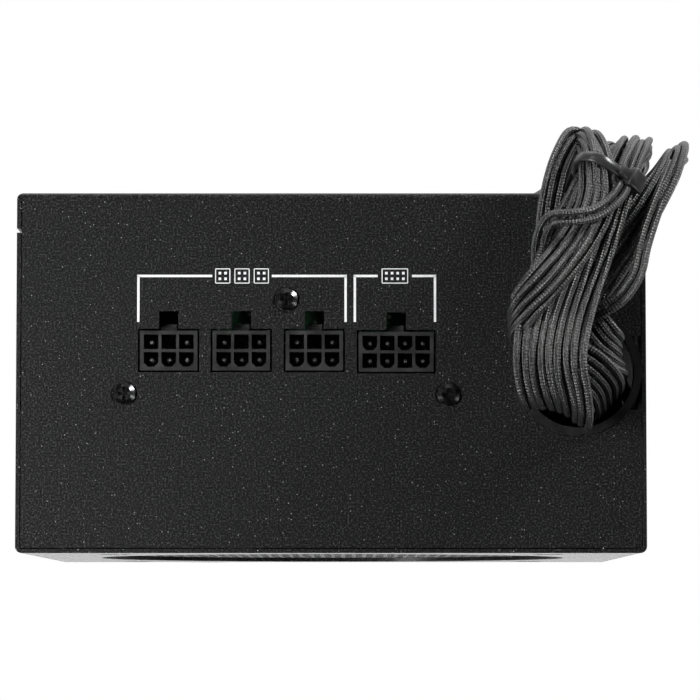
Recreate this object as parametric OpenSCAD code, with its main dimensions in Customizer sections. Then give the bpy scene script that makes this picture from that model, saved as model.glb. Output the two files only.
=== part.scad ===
// Semi-modular ATX power supply unit, standing on its fan side.
// +Z up, cable panel towards -Y, mains side towards +Y, millimetres.

/* [Case] */
// Width of the case, fixed by the ATX form factor
case_w = 150; // [149:0.5:151]
// Depth of the case from the cable panel to the mains panel
case_d = 140; // [140:1:150]
// Height of the case, fixed by the ATX form factor
case_h = 86; // [85.5:0.5:86.5]
// Thickness of the sheet steel
sheet_t = 1.0; // [0.8:0.1:1.1]
// Height of the fan cover's sides
cover_h = 76.4; // [75.5:0.1:76.6]
// Outer radius of the sheet bends
bend_r = 1.6; // [1.4:0.1:2]

/* [Fan] */
// Side of the square fan frame
fan_size = 120; // [118:1:120]
// Thickness of the fan
fan_t = 25; // [24:1:26]
// Number of fan blades
fan_blades = 9; // [5:1:11]
// Pitch of the honeycomb holes
hex_pitch = 5.5; // [5:0.1:6.5]
// Width of the webs between honeycomb holes
hex_web = 0.9; // [0.7:0.1:1.3]

/* [Sockets] */
// Pitch of the socket circuits
pin_pitch = 4.2; // [4.2:0.1:4.3]
// Width of one socket cell
cell_w = 3.5; // [3.3:0.1:3.6]

/* [Cables] */
// Diameter of the bundled 24-wire mainboard cable
atx_d = 10.5; // [10:0.5:10.5]
// Diameter of the bundled 8-wire processor and graphics cables
small_d = 6.5; // [6:0.5:6.5]

/* [Hidden] */
$fn = 48;
gap = 0.05;

// Rocker: half length of its cavity's free width, tilt to each side and height of its valley
rocker_half = 8.65;
rocker_tilt = 10;
rocker_valley = 4.6;
rocker_pivot_depth = 3.4;
rocker_end = (rocker_half - sin(rocker_tilt) * rocker_valley) * cos(rocker_tilt);
rocker_end_h = rocker_valley + rocker_end * tan(rocker_tilt);

// Heights of what stands proud of the two end panels
panel_screw_h = 1.5;
screw_seat = 0.3;
screw_proud = panel_screw_h - screw_seat;
rocker_proud = rocker_end * sin(rocker_tilt) + rocker_end_h * cos(rocker_tilt) - rocker_pivot_depth;
front_y = -(case_d + rocker_proud + screw_proud) / 2 + screw_proud;
back_y = front_y + case_d;
panel_w = case_w - 2 * sheet_t - 0.4;
panel_bottom = sheet_t + 0.25;
panel_top = case_h - 3;
lip_bottom = cover_h + 1;
side_screw_z = 66;
flange_low = 56;

// Cable panel: centres as [x, z]
socket_x = [-38.7, -21.4, -4.0, 15.5];
socket_z = [48.2, 48.2, 48.2, 47.9];
socket_cols = [3, 3, 3, 4];
socket_frame = 0.9;
window_w = 4.6;
window_h = 4.2;
socket_h = pin_pitch + cell_w + 2 * socket_frame;
socket_depth = 10.1;
pin_r = 0.57;
pin_depth = 3.4;
pin_taper = 0.8;
panel_screw_at = [[-49.2, 37.9], [-10.6, 60.4], [28.0, 37.6]];
panel_screw_r = 2.65;
panel_seat_r = 3.15;
panel_hole_r = 1.6;
socket_gap = 0.45;
hole_at = [58.8, 43.1];
hole_r = 14.6;
bush_r = 13.3;
bush_flange_r = 15.15;
slot_z = [34.1, 51.7];
modular_y = front_y + 14;

// Fan
fan_z = sheet_t + 0.8;
fan_open_r = 59;
fan_hole_pitch = 105;
fan_bore_r = 58;
fan_wall_r = 59.9;
fan_flange_t = 4;
spider_t = 3;
spider_r = 21;
post_r = 5;
bearing_r = 3.2;
blade_tip_r = 56.5;
hub_r = 20;
hub_wall = 2;
shaft_r = 1.5;
shaft_clearance = 0.03;

// Mains panel: centres as [x, z]
mount_at = [[69, 80], [69, 16], [-69, 6], [-45, 80]];
mount_r = 1.45;
mount_boss_t = 3;
inlet_at = [-54, 40];
inlet_body = [27, 19.8];
inlet_hole = [24.2, 16.4];
inlet_depth = 16;
inlet_pin = [2, 4];
switch_at = [-54, 63];
switch_body = [19, 13];
switch_hole = [17.6, 11.4];
switch_depth = 13;
cutout_gap = 0.4;
rocker_pivot_y = back_y - rocker_pivot_depth;
vent_x = [-36, 62];
vent_z = [7, 73];

// Main board, hanging from the top
board_top = 78.2;
board_t = 1.6;
board_low = board_top - board_t;
board_x = [-66, 66];
board_y = [-51, 58];
board_hole_at = [[-62, -47], [62, -47], [-30, 53], [62, 53]];
board_hole_r = 1.7;
sheet_lift = 5.6;
heatsink_h = 38;
inner_wire_d = 2.4;

// Routes of the three fixed cables, from the grommet over the top to the floor behind
atx_route = [
    [56.6, -62, 38.6], [56.6, -71, 37.2], [56, -78.6, 35.4], [54.2, -85.4, 34.9],
    [51.9, -90, 38.4], [50.7, -91.8, 45], [51.7, -90.6, 52.5], [54.6, -86.5, 62],
    [58.3, -83.7, 71.5], [62.5, -81.2, 81], [66.3, -78.3, 89.5], [70.5, -71.5, 95.6],
    [72.7, -61, 96.3], [71, -47, 93.8], [67, -31, 92], [63.5, -12, 92], [60.5, 30, 92],
    [54, 53, 92.2], [48, 69, 93.6], [44.5, 80, 87], [43, 84.5, 70], [42.5, 86, 42], [39, 91, 17],
    [26, 99, 8], [6, 100.5, 7], [-36, 100.5, 7], [-57, 109, 7], [-66, 130, 7], [-58, 151, 7],
    [-38, 160.5, 7], [-14, 160.5, 7], [34, 160.5, 6.6]
];
cpu_route = [
    [65.4, -62, 36.2], [65.6, -71, 36.6], [64.8, -77.5, 39.8], [60, -81.5, 43.8], [53, -81.6, 46.6],
    [46.8, -82.5, 49], [43, -87.4, 52.4], [44.4, -93, 56.4], [49.3, -95.2, 62],
    [54.5, -94.2, 68], [59.1, -92, 74.8], [62.2, -89.8, 83], [62.2, -87.1, 90.8],
    [61.3, -79.5, 97.2], [60.3, -69, 98.9], [59, -57, 95.4], [57, -42, 91.2], [54.5, -24, 89.7],
    [46, 18, 89.7], [36, 52, 90], [31.5, 70, 91], [29.3, 78.5, 80], [28.5, 79.5, 44],
    [26.5, 82, 19], [18, 88.5, 6.5], [0, 90.5, 4.5], [-36, 90.5, 4.5], [-60, 98.5, 4.5],
    [-75, 120, 4.5], [-74, 144, 4.5], [-58, 164, 4.5], [-36, 171, 4.5], [-14, 173.5, 5.2],
    [10, 177, 6.6]
];
graphics_route = [
    [67.4, -62, 45.6], [67.7, -71, 45.6], [66.8, -77.6, 47.4], [63.8, -80.5, 50.6],
    [61, -81, 54.9], [61.1, -80.2, 60.4], [64.7, -79, 66.8], [69.4, -78.8, 73.6],
    [74.6, -79.2, 81.3], [79.6, -76.8, 89.2], [82.8, -71, 94.6], [83.3, -62, 95.8],
    [80.5, -48, 92.8], [76, -30, 89.7], [73.5, -10, 89.7], [70.8, 30, 89.7], [65, 52, 89.8],
    [57.5, 72.5, 90.2], [55, 78.8, 80], [54.5, 81, 50], [51, 89, 21], [42, 101, 8],
    [26, 109.5, 4.5], [4, 110.5, 4.5], [-36, 110.5, 4.5], [-51, 117.5, 4.5], [-56, 130.5, 4.5],
    [-50, 144.5, 4.5], [-34, 149, 4.7], [8, 143.5, 6.6]
];
// Cable tie: its middle, its lean towards the case and to the right, and what it holds, seen along it
tie_at = [64.9, -83.6, 86.2];
tie_lean = [-17.5, 25.3, 0];
tie_holds = [[-0.1, 3.9, atx_d / 2], [-3.5, -4.3, small_d / 2]];
tie_slack = 0.45;
tie_t = 1.2;
tie_w = 2.6;
hank_strap_x = -7;

// ---------------------------------------------------------------- helpers

function unit(v) = v / norm(v);
function tangents(p) = [for (i = [0:len(p) - 1]) unit(p[min(i + 1, len(p) - 1)] - p[max(i - 1, 0)])];
function across(t, u, i) =
    i == len(t) ? [] : let (v = unit(u - (u * t[i]) * t[i])) concat([v], across(t, v, i + 1));

// Round tube swept along a route, with flat ends
module swept_tube(route, d, sides) {
    t = tangents(route);
    u = across(t, [1, 0, 0.3], 0);
    last = len(route) - 1;
    rings = [for (i = [0:last]) for (k = [0:sides - 1])
        route[i] + d / 2 * (cos(360 * k / sides) * u[i] + sin(360 * k / sides) * cross(t[i], u[i]))];
    walls = [for (i = [0:last - 1]) for (k = [0:sides - 1])
        [i * sides + k, (i + 1) * sides + k,
         (i + 1) * sides + (k + 1) % sides, i * sides + (k + 1) % sides]];
    start_cap = [[for (k = [0:sides - 1]) k]];
    end_cap = [[for (k = [sides - 1:-1:0]) last * sides + k]];
    polyhedron(rings, concat(walls, start_cap, end_cap));
}

// Rectangle with true round corners, centred
module round_rect(w, h, r) {
    square([w - 2 * r, h], center = true);
    square([w, h - 2 * r], center = true);
    for (x = [-1, 1], y = [-1, 1]) translate([x * (w / 2 - r), y * (h / 2 - r)]) circle(r);
}

// Plate in the XZ plane: its outer face at y, growing towards +Y
module wall_plate(y, t) {
    translate([0, y + t, 0]) rotate([90, 0, 0]) linear_extrude(t) children();
}

// Cylinder along +Y from y, at [x, z]
module rod_y(at, y, length, r, r_end = undef) {
    translate([at[0], y, at[1]]) rotate([-90, 0, 0])
        cylinder(h = length, r1 = r, r2 = is_undef(r_end) ? r : r_end);
}

// Box given by its low and high corners
module block(low, high) {
    translate(low) cube(high - low);
}

// Hexagons of a punched honeycomb, inside a rectangle
module hexagons(w, h) {
    row = hex_pitch * sqrt(3) / 2;
    rows = floor(h / row / 2);
    cols = floor(w / hex_pitch / 2);
    for (j = [-rows:rows], i = [-cols:cols])
        translate([(i + (abs(j) % 2) / 2) * hex_pitch, j * row])
            if (abs(i + (abs(j) % 2) / 2) * hex_pitch < (w - hex_pitch) / 2)
                rotate(30) circle(r = (hex_pitch - hex_web) / sqrt(3), $fn = 6);
}

// Phillips recess as two crossing slots, cutting down from z = 0
module cross_recess(size, depth) {
    for (a = [0, 90]) rotate(a) translate([0, 0, -depth / 2])
        cube([size, size * 0.26, depth + 0.01], center = true);
}

// Pan-head screw: head above z = 0, shank below
module pan_screw(head_r, head_h, shank_r, shank_l) {
    difference() {
        union() {
            cylinder(h = head_h * 0.45, r = head_r);
            translate([0, 0, head_h * 0.45]) cylinder(h = head_h * 0.55, r1 = head_r, r2 = head_r * 0.62);
            translate([0, 0, -shank_l]) cylinder(h = shank_l, r = shank_r);
        }
        translate([0, 0, head_h]) cross_recess(head_r * 1.15, head_h * 0.6);
    }
}

// Countersunk screw: head's flat at z = 0, shank below
module flat_screw(head_r, head_h, shank_r, shank_l) {
    difference() {
        union() {
            translate([0, 0, -head_h]) cylinder(h = head_h, r1 = head_r - head_h, r2 = head_r);
            translate([0, 0, -shank_l]) cylinder(h = shank_l, r = shank_r);
        }
        cross_recess(head_r * 1.15, head_h * 0.5);
    }
}

// ---------------------------------------------------------------- case

// Side screws as [side, y, z]
function side_screws() = [for (s = [-1, 1], y = [front_y + 6, back_y - 6]) [s, y, side_screw_z]];

module cable_panel_outline() {
    difference() {
        translate([-panel_w / 2, panel_bottom]) square([panel_w, panel_top - panel_bottom]);
        for (i = [0:3]) {
            w = socket_w(socket_cols[i]) + 2 * socket_gap;
            h = socket_h + 2 * socket_gap;
            translate([socket_x[i], socket_z[i]]) square([w, h], center = true);
            translate([socket_x[i] - window_w / 2, socket_z[i]]) square([window_w, h / 2 + window_h]);
        }
        for (p = panel_screw_at) translate(p) circle(panel_hole_r);
        translate(hole_at) circle(hole_r);
        translate([hole_at[0], slot_z[0]]) square([panel_w, slot_z[1] - slot_z[0]]);
    }
}

module mains_panel_outline() {
    difference() {
        translate([-panel_w / 2, panel_bottom]) square([panel_w, panel_top - panel_bottom]);
        translate(inlet_at) square(inlet_body + [cutout_gap, cutout_gap], center = true);
        translate(switch_at) square(switch_body + [cutout_gap, cutout_gap], center = true);
        translate([(vent_x[0] + vent_x[1]) / 2, (vent_z[0] + vent_z[1]) / 2])
            hexagons(vent_x[1] - vent_x[0], vent_z[1] - vent_z[0]);
    }
}

module tray_top_skin() {
    intersection() {
        translate([0, back_y, 0]) rotate([90, 0, 0]) linear_extrude(case_d) difference() {
            translate([0, case_h - 20]) round_rect(case_w, 40, bend_r);
            translate([0, case_h - 20]) round_rect(case_w - 2 * sheet_t, 40 - 2 * sheet_t, bend_r - sheet_t);
            translate([-case_w, -1]) square([2 * case_w, lip_bottom + 1]);
        }
        rotate([90, 0, 90]) translate([0, 0, -case_w / 2]) linear_extrude(case_w)
            translate([(front_y + back_y) / 2, case_h - 40]) round_rect(case_d, 80, bend_r);
    }
}

module tray_bent_ends() {
    rotate([90, 0, 90]) translate([0, 0, -panel_w / 2]) linear_extrude(panel_w) difference() {
        translate([(front_y + back_y) / 2, case_h - 40]) round_rect(case_d, 80, bend_r);
        translate([(front_y + back_y) / 2, case_h - 40])
            round_rect(case_d - 2 * sheet_t, 80 - 2 * sheet_t, bend_r - sheet_t);
        translate([-case_d, -1]) square([2 * case_d, panel_top]);
    }
}

module tray_side_flanges() {
    x = panel_w / 2;
    for (low = [-x, x - sheet_t]) {
        block([low, front_y + 0.5, flange_low], [low + sheet_t, front_y + 12, panel_top]);
        block([low, back_y - 12, flange_low], [low + sheet_t, back_y - 0.5, lip_bottom - 1.4]);
    }
}

module chassis_tray() color([0.07, 0.07, 0.075]) difference() {
    union() {
        tray_top_skin();
        tray_bent_ends();
        wall_plate(front_y, sheet_t) cable_panel_outline();
        wall_plate(back_y - sheet_t, sheet_t) mains_panel_outline();
        tray_side_flanges();
        for (p = mount_at) rod_y(p, back_y - mount_boss_t, mount_boss_t - 0.5, 2.6);
    }
    for (p = mount_at) rod_y(p, back_y - 5, 6, mount_r);
    for (p = panel_screw_at) rod_y(p, front_y - 0.01, screw_seat + 0.01, panel_seat_r);
    for (q = side_screws()) translate([q[0] * panel_w / 2, q[1], q[2]]) rotate([0, 90, 0])
        cylinder(h = 8, r = 1.5, center = true);
    for (p = board_hole_at) translate([p[0], p[1], case_h - sheet_t - 0.5]) cylinder(h = 0.7, r = 2.2);
}

module fan_cover() color([0.055, 0.055, 0.06]) difference() {
    translate([0, back_y, 0]) rotate([90, 0, 0]) linear_extrude(case_d) difference() {
        translate([0, 60]) round_rect(case_w, 120, bend_r);
        translate([0, 60]) round_rect(case_w - 2 * sheet_t, 120 - 2 * sheet_t, bend_r - sheet_t);
        translate([-case_w, cover_h]) square([2 * case_w, 120]);
    }
    translate([0, 0, -1]) cylinder(h = 4, r = fan_open_r);
    for (x = [-1, 1], y = [-1, 1]) translate([x * fan_hole_pitch / 2, y * fan_hole_pitch / 2, -0.01])
        cylinder(h = sheet_t + 0.02, r1 = 3.9, r2 = 2.9);
    for (q = side_screws()) translate([q[0] * (case_w / 2 + 0.01), q[1], q[2]]) rotate([0, -90 * q[0], 0])
        cylinder(h = sheet_t + 0.02, r1 = 2.85, r2 = 1.85);
}

module fan_grille() color([0.08, 0.08, 0.085])
    translate([0, 0, sheet_t]) linear_extrude(0.8) difference() {
        circle(62.5);
        intersection() {
            circle(fan_open_r - 0.8, $fn = 180);
            hexagons(2 * fan_open_r, 2 * fan_open_r);
        }
    }

module cover_screws() color([0.06, 0.06, 0.06])
    for (q = side_screws()) translate([q[0] * (case_w / 2 - 0.1), q[1], q[2]]) rotate([0, 90 * q[0], 0])
        flat_screw(2.6, 0.85, 1.45, 6);

module panel_screws() color([0.06, 0.06, 0.06])
    for (p = panel_screw_at) translate([p[0], front_y + screw_seat, p[1]]) rotate([90, 0, 0])
        pan_screw(panel_screw_r, panel_screw_h, 1.35, 6.5);

module fan_screws() color([0.06, 0.06, 0.06])
    for (x = [-1, 1], y = [-1, 1]) translate([x * fan_hole_pitch / 2, y * fan_hole_pitch / 2, 0.1])
        rotate([180, 0, 0]) flat_screw(3.7, 1.65, 2.05, 9);

module cable_grommet() color([0.03, 0.03, 0.03]) {
    translate([hole_at[0], front_y, hole_at[1]]) rotate([90, 0, 0]) rotate_extrude() {
        translate([bush_r, -4]) square([hole_r - gap - bush_r, 4.8]);
        translate([bush_r, 0]) square([bush_flange_r - bush_r, 0.8]);
        translate([hole_r - 0.2, -2.2]) square([0.65, 1.15]);
    }
    difference() {
        block([hole_at[0], front_y + sheet_t + gap, slot_z[0] - 1.5],
              [panel_w / 2 - sheet_t - 0.3, front_y + 2.2, slot_z[1] + 1.5]);
        rod_y(hole_at, front_y, 5, hole_r - 0.5);
    }
}

// ---------------------------------------------------------------- fan

module fan_plate(z, t) translate([0, 0, fan_z + z]) linear_extrude(t) difference() {
    round_rect(fan_size, fan_size, 4);
    circle(fan_bore_r);
    for (x = [-1, 1], y = [-1, 1]) translate([x, y] * fan_hole_pitch / 2) circle(2.15);
}

module fan_frame() color([0.05, 0.05, 0.05]) {
    fan_plate(0, fan_flange_t);
    fan_plate(fan_t - fan_flange_t, fan_flange_t);
    translate([0, 0, fan_z]) linear_extrude(fan_t) difference() {
        circle(fan_wall_r);
        circle(fan_bore_r);
    }
    translate([0, 0, fan_z + fan_t - spider_t]) linear_extrude(spider_t) {
        difference() {
            circle(spider_r);
            circle(bearing_r);
        }
        for (a = [45:90:315]) rotate(a) translate([spider_r - 1, -2]) square([39, 4]);
    }
    translate([0, 0, fan_z + 7]) linear_extrude(fan_t - 7) difference() {
        circle(post_r);
        circle(bearing_r);
    }
}

module fan_bearing() color([0.7, 0.6, 0.35]) translate([0, 0, fan_z + 7.5]) linear_extrude(14) difference() {
    circle(bearing_r - 0.02);
    circle(shaft_r + shaft_clearance);
}

module fan_stator() color([0.6, 0.35, 0.15]) translate([0, 0, fan_z + 9]) linear_extrude(9) difference() {
    circle(15.5);
    circle(post_r + gap);
    for (a = [45:90:315]) rotate(a) translate([7, -1.2]) square([12, 2.4]);
}

module fan_rotor() color([0.06, 0.06, 0.065]) translate([0, 0, fan_z]) {
    difference() {
        translate([0, 0, 1.2]) cylinder(h = 18.8, r = hub_r);
        translate([0, 0, 3]) cylinder(h = 20, r = hub_r - hub_wall);
        translate([0, 0, 2]) cylinder(h = 20, r = shaft_r);
    }
    difference() {
        translate([0, 0, 2.5]) cylinder(h = 3.5, r = 4);
        translate([0, 0, 2]) cylinder(h = 20, r = shaft_r);
    }
    intersection() {
        translate([0, 0, 2]) linear_extrude(18) difference() {
            circle(blade_tip_r);
            circle(hub_r - 0.5);
        }
        for (i = [0:fan_blades - 1]) rotate(360 * i / fan_blades) translate([0, 0, 11])
            rotate([52, 0, 0]) translate([0, -1, -30]) cube([60, 2, 60]);
    }
}

module fan_shaft() color([0.75, 0.75, 0.78]) translate([0, 0, fan_z + 2]) cylinder(h = 19.3, r = shaft_r);

// ---------------------------------------------------------------- mains inlet and switch

module inlet_cavity() {
    difference() {
        square(inlet_hole, center = true);
        for (s = [-1, 1]) translate([s * inlet_hole[0] / 2, -inlet_hole[1] / 2]) rotate(45)
            square(6.4, center = true);
    }
}

module ac_inlet() color([0.04, 0.04, 0.04]) {
    y_back = back_y - inlet_depth;
    wall_plate(back_y + 0.02, 1.6) translate(inlet_at) difference() {
        round_rect(31, 23.6, 1.5);
        inlet_cavity();
    }
    wall_plate(y_back + 3, 13.1) translate(inlet_at) difference() {
        square(inlet_body, center = true);
        inlet_cavity();
    }
    wall_plate(y_back, 3.1) translate(inlet_at) difference() {
        square(inlet_body, center = true);
        for (p = inlet_pin_at()) translate(p) square(inlet_pin + [0.1, 0.1], center = true);
    }
}

function inlet_pin_at() = [[-7, -1.5], [0, 2.5], [7, -1.5]];

module inlet_pins() color([0.8, 0.78, 0.7])
    wall_plate(back_y - 22, 21) translate(inlet_at) for (p = inlet_pin_at())
        translate(p) square(inlet_pin, center = true);

module switch_housing() color([0.04, 0.04, 0.04]) difference() {
    union() {
        wall_plate(back_y + 0.02, 1.4) translate(switch_at) round_rect(21.4, 15.2, 1.2);
        wall_plate(back_y - switch_depth, switch_depth + 0.1) translate(switch_at)
            square(switch_body, center = true);
    }
    wall_plate(back_y - switch_depth + 1.5, 14) translate(switch_at) square(switch_hole, center = true);
    translate([switch_at[0], rocker_pivot_y, switch_at[1]]) cylinder(h = 13.2, r = 0.9, center = true);
}

// Outline of the rocker about its pivot: a shallow V whose ends clear the cavity at both stops
module rocker_outline() {
    low = rocker_half / cos(rocker_tilt);
    polygon([[-rocker_end, rocker_end_h], [0, rocker_valley], [rocker_end, rocker_end_h], [low, 0],
             [low - 1.5, -2.5], [1.5 - low, -2.5], [-low, 0]]);
}

module switch_rocker() color([0.05, 0.05, 0.05])
    translate([switch_at[0], rocker_pivot_y, switch_at[1]]) rotate([0, 0, -rocker_tilt]) {
        translate([0, 0, -5.5]) linear_extrude(11) rocker_outline();
        cylinder(h = 12.6, r = 0.85, center = true);
    }

// ---------------------------------------------------------------- boards

module main_board() color([0.1, 0.35, 0.16])
    translate([0, 0, board_low]) linear_extrude(board_t) difference() {
        translate([board_x[0], board_y[0]]) square([board_x[1] - board_x[0], board_y[1] - board_y[0]]);
        for (p = board_hole_at) translate(p) circle(board_hole_r);
    }

module board_standoffs() color([0.75, 0.65, 0.35]) for (p = board_hole_at) translate([p[0], p[1], board_top])
    difference() {
        union() {
            cylinder(h = case_h - sheet_t - board_top, r = 3, $fn = 6);
            cylinder(h = case_h - sheet_t - board_top + 0.4, r = 2.15);
        }
        translate([0, 0, -1]) cylinder(h = 6, r = 1.4);
    }

module board_screws() color([0.75, 0.75, 0.75]) for (p = board_hole_at) translate([p[0], p[1], board_low])
    rotate([180, 0, 0]) pan_screw(2.7, 1.6, 1.35, 6);

module insulation_sheet() color([0.9, 0.9, 0.85, 0.6]) translate([0, 0, board_top + sheet_lift])
    linear_extrude(0.3)
    difference() {
        translate([board_x[0] - 2, board_y[0]])
            square([board_x[1] - board_x[0] + 4, board_y[1] - board_y[0]]);
        for (p = board_hole_at) translate(p) circle(3.3);
    }

module modular_board() color([0.1, 0.35, 0.16]) wall_plate(modular_y, 1.6) difference() {
    translate([-54, 33]) square([87, 33]);
    for (p = panel_screw_at) translate(p) circle(panel_hole_r);
}

module panel_spacers() color([0.75, 0.65, 0.35]) for (p = panel_screw_at) difference() {
    translate([p[0], front_y + sheet_t, p[1]]) rotate([-90, 0, 0])
        cylinder(h = modular_y - front_y - sheet_t, r = 2.9, $fn = 6);
    rod_y(p, front_y, 20, 1.4);
}

module modular_board_screws() color([0.75, 0.75, 0.75]) for (p = panel_screw_at)
    translate([p[0], modular_y + 1.6, p[1]]) rotate([-90, 0, 0]) pan_screw(2.7, 1.4, 1.35, 6);

// ---------------------------------------------------------------- modular sockets

function socket_w(cols) = (cols - 1) * pin_pitch + cell_w + 2 * socket_frame;
// Positions of a socket's cells as [column, row], row 0 below
function cells(cols) = [for (c = [0:cols - 1], r = [0, 1]) [c, r]];
function cell_at(cols, c) = [(c[0] - (cols - 1) / 2) * pin_pitch, (c[1] - 0.5) * pin_pitch];
// Keyed cells have chamfered lower corners; the six-way sockets key the lower row
function keyed(cols, c) = cols == 3 ? c[1] == 0 : (c[0] + c[1]) % 2 == 1;
// The six-way sockets leave the middle of the upper row empty
function has_pin(cols, c) = !(cols == 3 && c == [1, 1]);

module cell(is_keyed) {
    w = cell_w / 2;
    k = is_keyed ? 1.0 : 0.01;
    polygon([[-w, w], [w, w], [w, k - w], [w - k, -w], [k - w, -w], [-w, k - w]]);
}

module socket(i) color([0.09, 0.09, 0.09]) translate([socket_x[i], 0, socket_z[i]]) {
    cols = socket_cols[i];
    w = socket_w(cols);
    h = socket_h;
    wall_plate(front_y + 0.35, socket_depth) difference() {
        square([w, h], center = true);
        for (c = cells(cols)) translate(cell_at(cols, c)) cell(keyed(cols, c));
    }
    wall_plate(front_y + socket_depth + 0.3, modular_y - front_y - socket_depth - 0.3) difference() {
        square([w, h], center = true);
        for (c = cells(cols)) translate(cell_at(cols, c)) circle(pin_r + gap);
    }
    block([-1.8, front_y + 3.2, h / 2 - 0.1], [1.8, front_y + 7, h / 2 + 1.7]);
    block([-1.1, front_y + 7, h / 2 - 0.1], [1.1, front_y + socket_depth - 0.1, h / 2 + 0.8]);
}

module socket_1() socket(0);
module socket_2() socket(1);
module socket_3() socket(2);
module socket_4() socket(3);

module socket_pins() color([0.8, 0.8, 0.82]) for (i = [0:3]) translate([socket_x[i], 0, socket_z[i]])
    for (c = cells(socket_cols[i])) if (has_pin(socket_cols[i], c)) {
        at = cell_at(socket_cols[i], c);
        rod_y(at, front_y + pin_depth, modular_y - front_y - pin_depth, pin_r);
        rod_y(at, front_y + pin_depth - pin_taper, pin_taper, 0.3, pin_r);
    }

// ---------------------------------------------------------------- parts on the main board

// Can capacitor hanging from the board
module can(d, h) translate([0, 0, board_low - h]) {
    cylinder(h = h, r = d / 2);
}

module toroid(d, hole, t) rotate([90, 0, 0]) translate([0, 0, -t / 2]) linear_extrude(t) difference() {
    circle(d / 2);
    circle(hole / 2);
}

module bulk_capacitor() color([0.1, 0.1, 0.12]) translate([-38, 4, 0]) can(30, 41);

// Wound ferrite core: bobbin block between two core legs
module transformer(w, d, h) {
    translate([-w / 2, -d * 0.35, board_low - h]) cube([w, d * 0.7, h]);
    translate([-w * 0.36, -d / 2, board_low - h + 3]) cube([w * 0.72, d, h - 6]);
}

module main_transformer() color([0.75, 0.6, 0.2]) translate([9, 18, 0]) transformer(35, 36, 37);
module standby_transformer() color([0.75, 0.6, 0.2]) translate([8, -22, 0]) transformer(20, 20, 20);
module pfc_choke() color([0.6, 0.35, 0.15]) translate([-45, -33, board_low - 17.5]) toroid(35, 14, 17);
module line_choke() color([0.6, 0.35, 0.15]) translate([-44, 38, board_low - 12]) toroid(24, 9, 13);

module x_capacitors() color([0.85, 0.75, 0.15]) for (x = [-18.5, 0.5]) translate([x - 8, 44, board_low - 15])
    cube([16, 8, 15]);

module bridge_rectifier() color([0.1, 0.1, 0.1]) translate([-63, -10, board_low - 20]) cube([4, 20, 20]);

module line_fuse() color([0.85, 0.85, 0.85]) translate([-60, 14, board_low - 4]) rotate([-90, 0, 0])
    cylinder(h = 20, r = 2.6);

// Finned plate: a back plate along Y with fins towards -X or +X
module heatsink(x, side) {
    linear_extrude(heatsink_h) {
        translate([x - 1.5, -46]) square([3, 84]);
        for (y = [-44:8:36]) translate([side > 0 ? x + 1.4 : x - 6.4, y]) square([5, 1.4]);
    }
}

module primary_heatsink() color([0.7, 0.7, 0.72]) translate([0, 0, board_low - heatsink_h]) heatsink(-15, -1);
module secondary_heatsink() color([0.7, 0.7, 0.72]) translate([0, 0, board_low - heatsink_h]) heatsink(30, 1);

module power_transistors() color([0.1, 0.1, 0.1]) {
    for (y = [-36, -8, 5]) translate([-13.5 + gap, y, board_low - 22]) cube([4.4, 10, 16]);
    for (y = [-38, -10]) translate([28.5 - gap - 4.4, y, board_low - 22]) cube([4.4, 10, 16]);
}

module output_chokes() color([0.6, 0.35, 0.15]) {
    translate([51, 33, board_low - 13]) toroid(25, 10, 13);
    translate([51, 15, board_low - 9]) toroid(17, 7, 9);
}

module output_capacitors() color([0.12, 0.12, 0.3]) for (x = [43, 54], y = [-22, -11, 0])
    translate([x, y, 0]) can(10, 20);

// ---------------------------------------------------------------- inner wiring

module output_harness() color([0.08, 0.08, 0.08])
    swept_tube([[58.8, -62, 43.1], [58.8, -57, 44], [55, -48, 52], [49.5, -40, 64], [48.5, -38, board_low]],
        20, 12);

module fan_lead() color([0.06, 0.06, 0.06])
    swept_tube([[57, 41, fan_z + fan_t + 1.2], [62, 42, 33], [64.5, 43, 45], [64.5, 43, 64],
        [63.5, 44, board_low]], inner_wire_d, 8);

module ac_leads() color([0.5, 0.3, 0.15]) {
    swept_tube([[-61, back_y - 22.1, 38.5], [-63, 42, 44], [-64, 38, 60], [-64, 38, board_low]],
        inner_wire_d, 8);
    swept_tube([[-47, back_y - 22.1, 38.5], [-45, 43, 41], [-34, 41, 50], [-30, 41, 64],
        [-30, 41, board_low]], inner_wire_d, 8);
    swept_tube([[-54, back_y - 22.1, 42.5], [-54, 40, 48], [-59.5, 36, 60], [-60, 37, board_low]],
        inner_wire_d, 8);
}

// ---------------------------------------------------------------- fixed cables

module atx_cable() color([0.07, 0.07, 0.07]) swept_tube(atx_route, atx_d, 10);
module cpu_cable() color([0.07, 0.07, 0.07]) swept_tube(cpu_route, small_d, 8);
module graphics_cable() color([0.07, 0.07, 0.07]) swept_tube(graphics_route, small_d, 8);

// Outline round what the tie holds, at a distance from it
module tie_outline(distance) hull()
    for (c = tie_holds) translate([c[0], c[1]]) circle(c[2] + distance, $fn = 32);

// Nylon tie round the mainboard and processor cables above the case's upper edge
module cable_tie() color([0.12, 0.12, 0.12]) translate(tie_at) rotate(tie_lean) {
    linear_extrude(tie_w) difference() {
        tie_outline(tie_slack + tie_t);
        tie_outline(tie_slack);
    }
    translate([3.2, -5.6, -1.2]) rotate(-62) cube([3, 6, 5]);
}

// Hook-and-loop strap holding the three folded cables together on the floor
module hank_strap() color([0.05, 0.05, 0.05]) translate([hank_strap_x, 100.5, 7]) rotate([90, 0, 90])
    linear_extrude(10) difference() {
        round_rect(29.6, 13.8, 3);
        round_rect(28, 12.2, 2.4);
    }

plug_l = 21;
plug_wall = 0.9;
plug_cell = 2.6;

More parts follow.
